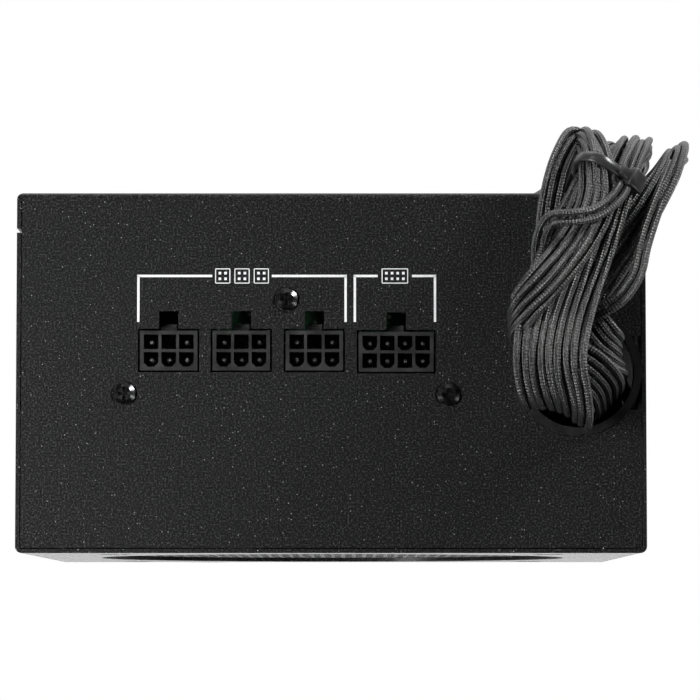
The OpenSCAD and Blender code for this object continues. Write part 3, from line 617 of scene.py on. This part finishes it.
def hull_2d(points):
    """Convex hull, counter-clockwise."""
    points = sorted(map(tuple, points))
    halves = []
    for run in (points, points[::-1]):
        half = []
        for p in run:
            while len(half) > 1 and ((half[-1][0] - half[-2][0]) * (p[1] - half[-2][1])
                                     <= (half[-1][1] - half[-2][1]) * (p[0] - half[-2][0])):
                half.pop()
            half.append(p)
        halves += half[:-1]
    return np.array(halves)


class Wrap:
    """A band pulled round wires in the plane at a point, with u and v as that plane's axes."""

    def __init__(self, wires, middle, u, v, slack=0.1, count=96):
        self.middle, self.u, self.v = (np.array(a, float) for a in (middle, u, v))
        self.n = np.cross(self.u, self.v)
        angle = np.linspace(0, 2 * math.pi, 16, endpoint=False)
        ring = (WIRE_R + slack) * np.stack([np.cos(angle), np.sin(angle)], 1)
        spots = []
        for wire in wires:
            rel = wire - self.middle
            near = np.where(np.linalg.norm(rel, axis=1) < 30)[0]
            if len(near):
                i = near[np.argmin(np.abs(rel[near] @ self.n))]
                if abs(rel[i] @ self.n) < 1.5:
                    spots.append(ring + (rel[i] @ self.u, rel[i] @ self.v))
        hull = hull_2d(np.vstack(spots))
        hull = np.vstack([hull, hull[:1]])
        far = np.concatenate([[0], np.cumsum(np.linalg.norm(np.diff(hull, axis=0), axis=1))])
        even = np.linspace(0, far[-1], count, endpoint=False)
        self.loop = np.stack([np.interp(even, far, hull[:, k]) for k in (0, 1)], 1)
        for _ in range(3):
            self.loop = (np.roll(self.loop, 1, 0) + 2 * self.loop + np.roll(self.loop, -1, 0)) / 4
        way = unit(np.roll(self.loop, -1, 0) - np.roll(self.loop, 1, 0))
        self.out = np.stack([way[:, 1], -way[:, 0]], 1)

    def place(self, flat, along):
        return self.middle + flat[:, :1] * self.u + flat[:, 1:] * self.v + np.outer(along, self.n)

    def band(self, width, thick, edge, closed=True, lift=0.0):
        """Strip round the loop, with its long edges rounded off by edge."""
        w = width / 2
        section = [(0, edge - w), (0, w - edge), (edge, w), (thick - edge, w), (thick, w - edge),
                   (thick, edge - w), (thick - edge, -w), (edge, -w)]
        rings = [self.place(self.loop + self.out * (rise + lift), np.full(len(self.loop), side))
                 for rise, side in section]
        count, corners = len(self.loop), len(section)
        verts = np.stack(rings, 1).reshape(-1, 3)
        faces = [(i * corners + k, i * corners + (k + 1) % corners,
                  ((i + 1) % count) * corners + (k + 1) % corners, ((i + 1) % count) * corners + k)
                 for i in range(count) for k in range(corners)]
        return verts, faces

    def spot(self, angle):
        """Index of the loop's point seen from the middle of the loop at an angle."""
        rel = self.loop - self.loop.mean(0)
        return int(np.argmax(unit(rel) @ (math.cos(angle), math.sin(angle))))


def rounded_box(name, middle, axes, size, mat, edge):
    """Box with bevelled edges along three given axes, in millimetres."""
    axes = [np.array(a, float) for a in axes]
    mesh = bmesh.new()
    bmesh.ops.create_cube(mesh, size=1)
    for v in mesh.verts:
        p = np.array(middle, float)
        for axis, length, c in zip(axes, size, v.co):
            p = p + axis * length * c
        v.co = Vector(p * MM)
    bmesh.ops.recalc_face_normals(mesh, faces=mesh.faces)
    bmesh.ops.bevel(mesh, geom=mesh.edges[:], offset=edge * MM, segments=3, profile=0.5, affect="EDGES")
    data = bpy.data.meshes.new(name)
    mesh.to_mesh(data)
    mesh.free()
    obj = bpy.data.objects.new(name, data)
    bpy.context.collection.objects.link(obj)
    data.materials.append(mat)
    data.polygons.foreach_set("use_smooth", [True] * len(data.polygons))
    return obj


def merge(name, objects):
    """Joins mesh objects into the first."""
    bpy.ops.object.select_all(action="DESELECT")
    for obj in objects:
        obj.select_set(True)
    bpy.context.view_layer.objects.active = objects[0]
    bpy.ops.object.join()
    objects[0].name = name
    return objects[0]


TIE_AXIS = (0.407, 0.3, 0.863)
TIE_HEAD_ANGLE = math.radians(-28)


def cable_tie(bundles, mat):
    """Nylon tie with its square head and cut tail, round the mainboard and processor wires."""
    low, high = (np.array(p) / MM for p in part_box("cable_tie"))
    middle = (low + high) / 2
    n = unit(np.array(TIE_AXIS))
    u = unit(np.cross((0, 1, 0), n))
    v = np.cross(n, u)
    wrap = Wrap(bundles["atx"].wires + bundles["cpu"].wires, middle, u, v)
    band = mesh_object("tie_band", *wrap.band(2.6, 0.9, 0.25), mat)
    i = wrap.spot(TIE_HEAD_ANGLE)
    out = wrap.out[i][0] * u + wrap.out[i][1] * v
    way = np.cross(n, out)
    seat = wrap.place(wrap.loop[i:i + 1], np.zeros(1))[0]
    head = rounded_box("tie_head", seat + out * 2.1, (way, n, out), (4.6, 4.8, 3.4), mat, 0.5)
    tail = rounded_box("tie_tail", seat + out * 2.4 - way * 3.4, (way, n, out), (3.2, 2.5, 1.1), mat, 0.25)
    tie = merge("cable_tie_nylon", [band, head, tail])
    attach(tie, "case")
    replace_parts(tie, "cable_tie")


def hank_strap(bundles, mat):
    """Hook-and-loop strap round the three folded cables, with its end lapped over."""
    low, high = (np.array(p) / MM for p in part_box("hank_strap"))
    middle = (low + high) / 2
    wires = [w for b in bundles.values() for w in b.wires]
    wrap = Wrap(wires, middle, (0, 1, 0), (0, 0, 1), slack=0.05)
    width = high[0] - low[0]
    band = mesh_object("strap_band", *wrap.band(width, 0.8, 0.2), mat)
    first, last = wrap.spot(math.radians(150)), wrap.spot(math.radians(60))
    first, last = min(first, last), max(first, last)
    lap = slice(first, last)
    wrap.loop, wrap.out = wrap.loop[lap], wrap.out[lap]
    verts, faces = wrap.band(width, 0.9, 0.2, lift=0.75)
    corners = 8
    count = len(wrap.loop)
    faces = faces[:(count - 1) * corners] + [tuple(range(corners))[::-1],
                                             tuple((count - 1) * corners + k for k in range(corners))]
    strap = merge("hank_strap_fabric", [band, mesh_object("strap_lap", verts, faces, mat)])
    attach(strap, "case")
    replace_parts(strap, "hank_strap")


# ------------------------------------------------------------------ print on the cable panel

LINE_W = 0.58
INK_T = 0.03


def ink_bar(x0, z0, x1, z1):
    """Thin printed rectangle on the cable panel."""
    y0, y1 = FRONT_Y - INK_T, FRONT_Y + 0.05
    corners = [(x, y, z) for x in (x0, x1) for y in (y0, y1) for z in (z0, z1)]
    faces = [(0, 4, 5, 1), (2, 3, 7, 6), (0, 1, 3, 2), (4, 6, 7, 5), (1, 5, 7, 3), (0, 2, 6, 4)]
    return np.array(corners), faces, []


def socket_sign(x, z, cols):
    """Outline of a socket with a dot for each circuit."""
    pitch, dot, line = 1.35, 0.62, 0.22
    w, h = cols * pitch + 0.7, 2 * pitch + 0.7

    def bar(cx, cz, width, height):
        return ink_bar(cx - width / 2, cz - height / 2, cx + width / 2, cz + height / 2)

    bars = [bar(x, z + s * h / 2, w, line) for s in (-1, 1)]
    bars += [bar(x + s * w / 2, z, line, h) for s in (-1, 1)]
    bars += [bar(x + (c - (cols - 1) / 2) * pitch, z + r * pitch, dot, dot)
             for c in range(cols) for r in (-0.5, 0.5)]
    return bars


def panel_print(mat):
    """Two brackets over the sockets, with plain socket signs in their gaps."""
    top, foot = 66.0, 55.0
    three_gap, four_gap, sign_step = 7.1, 4.1, 4.6
    half = LINE_W / 2
    left_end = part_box("socket_1")[0].x / MM - 0.4
    three_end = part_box("socket_3")[1].x / MM + 0.6
    four_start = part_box("socket_4")[0].x / MM - 0.9
    four_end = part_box("socket_4")[1].x / MM + 0.3
    parts = []
    for x0, x1, gap in ((left_end, three_end, three_gap), (four_start, four_end, four_gap)):
        middle = (x0 + x1) / 2
        parts.append(ink_bar(x0 - half, top - half, middle - gap, top + half))
        parts.append(ink_bar(middle + gap, top - half, x1 + half, top + half))
        parts += [ink_bar(x - half, foot, x + half, top) for x in (x0, x1)]
    middle = (left_end + three_end) / 2
    for step in (-1, 0, 1):
        parts += socket_sign(middle + step * sign_step, top, 2)
    parts += socket_sign((four_start + four_end) / 2, top, 4)
    verts, faces, _ = join_parts(parts)
    obj = mesh_object("panel_print", verts, faces, mat, smooth=False)
    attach(obj, "case")


# ------------------------------------------------------------------ fan rotor

FAN_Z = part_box("fan_frame")[0].z / MM
BLADES = 9
HUB_R = 20
TIP_R = 56.2


def revolve(profile, sides=72):
    """Solid of revolution about Z from (radius, height) points, the first and last on the axis."""
    angle = np.linspace(0, 2 * math.pi, sides, endpoint=False)
    verts, faces = [(0, 0, profile[0][1])], []
    inner = profile[1:-1]
    for r, z in inner:
        verts += [(r * math.cos(a), r * math.sin(a), z) for a in angle]
    verts.append((0, 0, profile[-1][1]))
    for k in range(sides):
        n = (k + 1) % sides
        faces.append((0, 1 + n, 1 + k))
        for j in range(len(inner) - 1):
            a, b = 1 + j * sides, 1 + (j + 1) * sides
            faces.append((a + k, a + n, b + n, b + k))
        last = 1 + (len(inner) - 1) * sides
        faces.append((len(verts) - 1, last + k, last + n))
    return np.array(verts, float), faces


def blade(turn):
    """One swept, twisted and cambered blade."""
    spans, chords = 12, 12
    rows = []
    for side in (1, -1):
        for i in range(spans + 1):
            s = i / spans
            radius = HUB_R - 0.6 + (TIP_R - HUB_R + 0.6) * s
            chord = math.radians(34 - 3 * s)
            tall = 13.5 - 3.2 * s
            lean = math.radians(16) * s ** 1.5
            for j in range(chords + 1):
                c = j / chords
                thick = 0.25 + 0.75 * math.sin(math.pi * min(1, c * 0.92 + 0.04)) ** 0.7
                camber = 1.5 * math.sin(math.pi * c)
                a = turn + lean + (c - 0.5) * chord
                z = FAN_Z + 11 + (c - 0.5) * tall - camber + side * thick
                rows.append((radius * math.cos(a), radius * math.sin(a), z))
    size = (spans + 1) * (chords + 1)

    def at(side, i, j):
        return side * size + i * (chords + 1) + j

    faces = []
    for i in range(spans):
        for j in range(chords):
            faces.append((at(0, i, j), at(0, i + 1, j), at(0, i + 1, j + 1), at(0, i, j + 1)))
            faces.append((at(1, i, j), at(1, i, j + 1), at(1, i + 1, j + 1), at(1, i + 1, j)))
    for i in range(spans):
        faces.append((at(0, i, 0), at(1, i, 0), at(1, i + 1, 0), at(0, i + 1, 0)))
        faces.append((at(0, i, chords), at(0, i + 1, chords), at(1, i + 1, chords), at(1, i, chords)))
    for j in range(chords):
        faces.append((at(0, 0, j), at(0, 0, j + 1), at(1, 0, j + 1), at(1, 0, j)))
        faces.append((at(0, spans, j), at(1, spans, j), at(1, spans, j + 1), at(0, spans, j + 1)))
    return np.array(rows), faces


def fan_rotor(mat):
    """Hub cup with nine curved blades."""
    cup = [(0, 1.2), (16.8, 1.2), (18.6, 1.45), (19.6, 2.1), (20, 3.2), (20, 20), (18, 20), (18, 3.2),
           (4, 3.2), (4, 6), (1.5, 6), (1.5, 2), (0, 2)]
    solids = [revolve([(r, z + FAN_Z) for r, z in cup])]
    solids += [blade(2 * math.pi * k / BLADES) for k in range(BLADES)]
    verts, faces, _ = join_parts([(*solid, []) for solid in solids])
    obj = mesh_object("fan_rotor_blades", verts, faces, mat)
    split = obj.modifiers.new("edge", "EDGE_SPLIT")
    split.split_angle = math.radians(40)
    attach(obj, "fan")
    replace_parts(obj, "fan_rotor")


# ------------------------------------------------------------------ wound chokes


def wound_ring(name, node_part, hole, turns, wire_r, core, wire):
    """Toroid core with one layer of enamelled wire. node_part is its box in millimetres, its axis is Y."""
    low, high = node_part
    middle = (low + high) / 2
    outer = (high[0] - low[0]) / 2
    inner = hole / 2
    half = (high[1] - low[1]) / 2
    ring_r = (outer + inner) / 2
    a, b = (outer - inner) / 2 - 2 * wire_r - 0.1, half - 2 * wire_r - 0.1

    def point(phi, psi, grow):
        c, s = math.cos(psi), math.sin(psi)
        bulge = (abs(c) ** 4 + abs(s) ** 4) ** -0.25
        r = ring_r + (a + grow) * c * bulge
        y = (b + grow) * s * bulge
        return (middle[0] + r * math.cos(phi), middle[1] + y, middle[2] + r * math.sin(phi))

    steps = 16
    line = [point(math.radians(15 + 330 * i / (turns * steps)), 2 * math.pi * i / steps, wire_r + 0.05)
            for i in range(turns * steps)]
    line = np.array(line)
    side = np.tile((0.1, 1.0, 0.2), (len(line), 1))
    coil = mesh_object(f"{name}_wire", *tube(line, wire_r, side, 6)[:2], wire)
    ring, cross = 48, 16
    verts = [point(2 * math.pi * i / ring, 2 * math.pi * k / cross, 0)
             for i in range(ring) for k in range(cross)]
    faces = [(i * cross + k, i * cross + (k + 1) % cross, ((i + 1) % ring) * cross + (k + 1) % cross,
              ((i + 1) % ring) * cross + k) for i in range(ring) for k in range(cross)]
    body = mesh_object(f"{name}_core", verts, faces, core)
    return merge(name, [coil, body])


def wound_chokes(core, wire):
    """Wound rings in place of the plain ones on the main board."""
    for node, hole, turns, wire_r in (("pfc_choke", 14, 42, 0.55), ("line_choke", 9, 26, 0.5)):
        part = [np.array(p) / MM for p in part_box(node)]
        obj = wound_ring(f"{node}_wound", part, hole, turns, wire_r, core, wire)
        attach(obj, "case")
        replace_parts(obj, node)
    low, high = (np.array(p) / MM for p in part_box("output_chokes"))
    big, small = (25, 13), (17, 9)
    x, top = (low[0] + high[0]) / 2, high[2]
    far_y, near_y = high[1] - big[1] / 2, low[1] + small[1] / 2
    rings = []
    for k, ((size, thick), y, hole, turns) in enumerate(((big, far_y, 10, 24), (small, near_y, 7, 17))):
        part = [np.array([x - size / 2, y - thick / 2, top - size]),
                np.array([x + size / 2, y + thick / 2, top])]
        rings.append(wound_ring(f"output_choke_{k + 1}", part, hole, turns, 0.6, core, wire))
    obj = merge("output_chokes_wound", rings)
    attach(obj, "case")
    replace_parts(obj, "output_chokes")


# ------------------------------------------------------------------ rocker marks


def rocker_marks(mat):
    """Raised bar and ring on the two halves of the rocker."""
    tilt = math.radians(10)
    middle = centre_of("switch_housing")
    pivot = np.array([middle[0], BACK_Y - 3.4, middle[2]])
    turn = np.array([[math.cos(-tilt), -math.sin(-tilt)], [math.sin(-tilt), math.cos(-tilt)]])
    valley = 4.6
    marks = []
    for side in (-1, 1):
        face = np.array([side * 4.3, valley + 4.3 * math.tan(tilt)])
        way = turn @ np.array([math.cos(tilt), side * math.sin(tilt)])
        out = turn @ np.array([-side * math.sin(tilt), math.cos(tilt)])
        spot = turn @ face
        base = pivot + (spot[0], spot[1], 0)
        u, n = np.array([*way, 0]), np.array([*out, 0])
        if side < 0:
            marks.append(rounded_box("mark_on", base + n * 0.02, (u, UP, n), (0.55, 4.2, 0.22), mat, 0.05))
        else:
            angle = np.linspace(0, 2 * math.pi, 40, endpoint=False)
            loop = base + n * 0.02 + np.outer(1.5 * np.cos(angle), u) + np.outer(2.1 * np.sin(angle), UP)
            loop = np.vstack([loop, loop[:1]])
            verts, faces, _ = tube(loop, 0.26, np.tile(n, (len(loop), 1)), 8)
            marks.append(mesh_object("mark_off", verts, faces, mat))
    obj = merge("rocker_marks", marks)
    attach(obj, "rocker")


# ------------------------------------------------------------------ looks of the CAD nodes


def dress(nodes, mat, edge=0.0):
    """Gives CAD nodes a material, and rounds their edges a little."""
    for node in nodes:
        obj = NODES[node]
        if not obj.material_slots:
            obj.data.materials.append(mat)
        for slot in obj.material_slots:
            slot.material = mat
        if edge:
            bevel = obj.modifiers.new("edge", "BEVEL")
            bevel.width = edge * MM
            bevel.segments = 2
            bevel.limit_method = "ANGLE"
            bevel.angle_limit = math.radians(35)
            bevel.harden_normals = False


def circuit_board():
    """Dark green solder mask with darker copper runs and tinned pads."""
    look = Look("circuit_board", IOR=1.5)
    cells = look.add("ShaderNodeTexVoronoi", {"distance": "MANHATTAN", "feature": "F2"}, Vector=look.coord,
                     Scale=160)
    runs = look.maths("SINE", look.maths("MULTIPLY", cells.outputs["Distance"], 26))
    tone = look.span(runs, 0.2, 0.5)
    base = look.mix(tone, (0.004, 0.026, 0.01), (0.008, 0.045, 0.017))
    dots = look.add("ShaderNodeTexVoronoi", Vector=look.coord, Scale=330)
    pad = look.maths("LESS_THAN", dots.outputs["Distance"], 0.17)
    look.set("Base Color", look.mix(pad, base, (0.5, 0.5, 0.48)))
    look.set("Metallic", pad)
    look.set("Roughness", look.span(look.noise(500), 0.3, 0.7, 0.28, 0.42))
    look.bump(look.maths("ADD", look.maths("MULTIPLY", tone, 0.5), pad), 0.3, 0.00005)
    return look.mat


def can_sleeve():
    """Shrunk sleeve with a pale stripe, and bare aluminium on the end."""
    look = Look("capacitor_sleeve", IOR=1.48)
    normal = look.add("ShaderNodeNewGeometry").outputs["Normal"]
    axes = look.add("ShaderNodeSeparateXYZ", Vector=normal)
    end = look.maths("LESS_THAN", axes.outputs["Z"], -0.9)
    stripe = look.maths("GREATER_THAN", axes.outputs["X"], 0.93)
    sleeve = look.mix(stripe, (0.012, 0.013, 0.03), (0.35, 0.36, 0.38))
    cloud = look.noise(300, 3, 0.6)
    sleeve = look.mix(look.span(cloud, 0.4, 0.8, 0, 0.5), sleeve, (0.03, 0.03, 0.05))
    look.set("Base Color", look.mix(end, sleeve, (0.62, 0.62, 0.63)))
    look.set("Metallic", end)
    look.set("Roughness", look.span(cloud, 0.3, 0.7, 0.25, 0.38))
    look.bump(cloud, 0.15, 0.0001)
    return look.mat


def tape_layers():
    """Yellow tape round a transformer, with its edges and the dark ferrite between."""
    look = Look("transformer_tape", IOR=1.5)
    axes = look.add("ShaderNodeSeparateXYZ", Vector=look.coord)
    height = look.maths("MULTIPLY", axes.outputs["Z"], 2 * math.pi / 0.0037)
    wave = look.maths("SINE", height)
    seam = look.maths("GREATER_THAN", wave, 0.93)
    cloud = look.noise(240, 3, 0.6)
    base = look.mix(look.span(cloud, 0.3, 0.7), (0.55, 0.38, 0.04), (0.7, 0.52, 0.08))
    look.set("Base Color", look.mix(seam, base, (0.3, 0.19, 0.02)))
    look.set("Roughness", look.span(cloud, 0.3, 0.7, 0.28, 0.45))
    relief = look.maths("ADD", look.maths("MULTIPLY", wave, 0.3), look.maths("MULTIPLY", cloud, 0.4))
    look.bump(relief, 0.35, 0.0001)
    return look.mat


def woven_strap():
    """Brushed loop fabric of the strap."""
    look = Look("strap_fabric", IOR=1.45, Roughness=0.92)
    fuzz = look.noise(2600, 4, 0.75)
    weave = look.add("ShaderNodeTexWave", {"wave_type": "BANDS", "bands_direction": "X"}, Vector=look.coord,
                     Scale=420, Distortion=2.5, Detail=2)
    ribs = look.maths("MULTIPLY", weave.outputs["Fac"], 0.4)
    height = look.maths("ADD", look.maths("MULTIPLY", fuzz, 0.7), ribs)
    tone = look.span(height, 0.3, 0.8)
    look.set("Base Color", look.mix(tone, (0.006, 0.006, 0.007), (0.045, 0.045, 0.048)))
    look.set("Sheen Weight", 0.4)
    look.set("Sheen Roughness", 0.5)
    look.bump(height, 0.7, 0.0002)
    return look.mat


def printed_ink():
    """White screen print, a little uneven."""
    look = Look("white_ink", IOR=1.5)
    grain = look.noise(2500, 3, 0.6)
    look.set("Base Color", look.mix(look.span(grain, 0.3, 0.7), (0.72, 0.72, 0.73), (0.88, 0.88, 0.89)))
    look.set("Roughness", look.span(grain, 0.3, 0.7, 0.45, 0.6))
    look.bump(grain, 0.2, 0.00004)
    return look.mat


def enamelled_copper():
    look = Look("enamelled_copper", Metallic=1.0, Coat_Weight=0.5, Coat_Roughness=0.12)
    cloud = look.noise(350, 3, 0.6)
    look.set("Base Color", look.mix(look.span(cloud, 0.3, 0.7), (0.5, 0.17, 0.05), (0.68, 0.27, 0.1)))
    look.set("Roughness", look.span(cloud, 0.3, 0.7, 0.25, 0.42))
    look.bump(cloud, 0.1, 0.00005)
    return look.mat


def finishes():
    """Every material, by the record's slot."""
    return {
        "case_paint": powder_coat(),
        "black_screw": metal("black_screw", (0.12, 0.12, 0.123), 0.24, scratch=(900, 900, 900), strength=0.1),
        "black_nylon": plastic("black_nylon", (0.007, 0.007, 0.0075), 0.27),
        "fan_plastic": plastic("fan_plastic", (0.01, 0.01, 0.0105), 0.42, 1500),
        "bearing_brass": metal("bearing_brass", (0.6, 0.43, 0.16), 0.35),
        "copper_winding": enamelled_copper(),
        "bright_steel": metal("bright_steel", (0.62, 0.62, 0.64), 0.28),
        "contact_metal": metal("contact_metal", (0.93, 0.92, 0.89), 0.36, scratch=(700, 700, 700),
                               strength=0.08, metallic=0.4),
        "circuit_board": circuit_board(),
        "clear_film": plastic("clear_film", (0.42, 0.42, 0.38), 0.3, 900),
        "socket_nylon": plastic("socket_nylon", (0.013, 0.013, 0.0135), 0.38, 2600, 0.16),
        "capacitor_sleeve": can_sleeve(),
        "transformer_tape": tape_layers(),
        "capacitor_yellow": plastic("capacitor_yellow", (0.5, 0.4, 0.06), 0.35, 1200),
        "component_black": plastic("component_black", (0.015, 0.015, 0.015), 0.5, 1500),
        "fuse_ceramic": plastic("fuse_ceramic", (0.6, 0.6, 0.57), 0.3, 1200),
        "heatsink_aluminium": metal("heatsink_aluminium", (0.58, 0.59, 0.6), 0.36, scratch=(1500, 80, 1500)),
        # Braid colours: the first is painted shade for the weave's grooves, the second painted highlight for
        # its ridges.
        "wire_sleeve": braid("wire_sleeve", (0.0003, 0.0003, 0.0004), (0.022, 0.022, 0.0235), 4, 1.45),
        "tie_nylon": plastic("tie_nylon", (0.02, 0.02, 0.021), 0.3, 1800),
        "strap_fabric": woven_strap(),
        "plug_nylon": plastic("plug_nylon", (0.01, 0.01, 0.0105), 0.4, 2600, 0.16),
        "ferrite": plastic("ferrite", (0.03, 0.028, 0.027), 0.6, 1500, 0.3),
        "ink": printed_ink(),
    }


def dress_nodes(look):
    dress(["chassis_tray", "fan_cover"], look["case_paint"], 0.22)
    dress(["fan_grille"], look["case_paint"], 0.12)
    dress(["cover_screws", "panel_screws", "fan_screws"], look["black_screw"], 0.16)
    dress(["cable_grommet", "ac_inlet", "switch_housing", "switch_rocker"], look["black_nylon"], 0.3)
    dress(["fan_frame"], look["fan_plastic"], 0.25)
    dress(["fan_bearing", "board_standoffs", "panel_spacers"], look["bearing_brass"], 0.1)
    dress(["fan_stator"], look["copper_winding"], 0.3)
    dress(["fan_shaft", "board_screws", "modular_board_screws"], look["bright_steel"], 0.1)
    dress(["inlet_pins", "socket_pins"], look["contact_metal"], 0.12)
    dress(["main_board", "modular_board"], look["circuit_board"], 0.1)
    dress(["insulation_sheet"], look["clear_film"])
    dress(["socket_1", "socket_2", "socket_3", "socket_4"], look["socket_nylon"], 0.14)
    dress(["bulk_capacitor", "output_capacitors"], look["capacitor_sleeve"], 0.6)
    dress(["main_transformer", "standby_transformer"], look["transformer_tape"], 0.5)
    dress(["x_capacitors"], look["capacitor_yellow"], 0.6)
    dress(["bridge_rectifier", "power_transistors"], look["component_black"], 0.3)
    dress(["line_fuse"], look["fuse_ceramic"], 0.3)
    dress(["primary_heatsink", "secondary_heatsink"], look["heatsink_aluminium"], 0.2)
    dress(["fan_lead", "ac_leads"], look["component_black"])
    dress(sum(PLUGS.values(), []), look["plug_nylon"], 0.22)


bpy.context.scene.view_settings.view_transform = "Standard"
camera()
look = finishes()
bundles = fixed_cables(look["wire_sleeve"])
inner_wires(bundles, look["wire_sleeve"])
cable_tie(bundles, look["tie_nylon"])
hank_strap(bundles, look["strap_fabric"])
panel_print(look["ink"])
fan_rotor(look["fan_plastic"])
wound_chokes(look["ferrite"], look["copper_winding"])
rocker_marks(look["ink"])
dress_nodes(look)
studio()
floor()
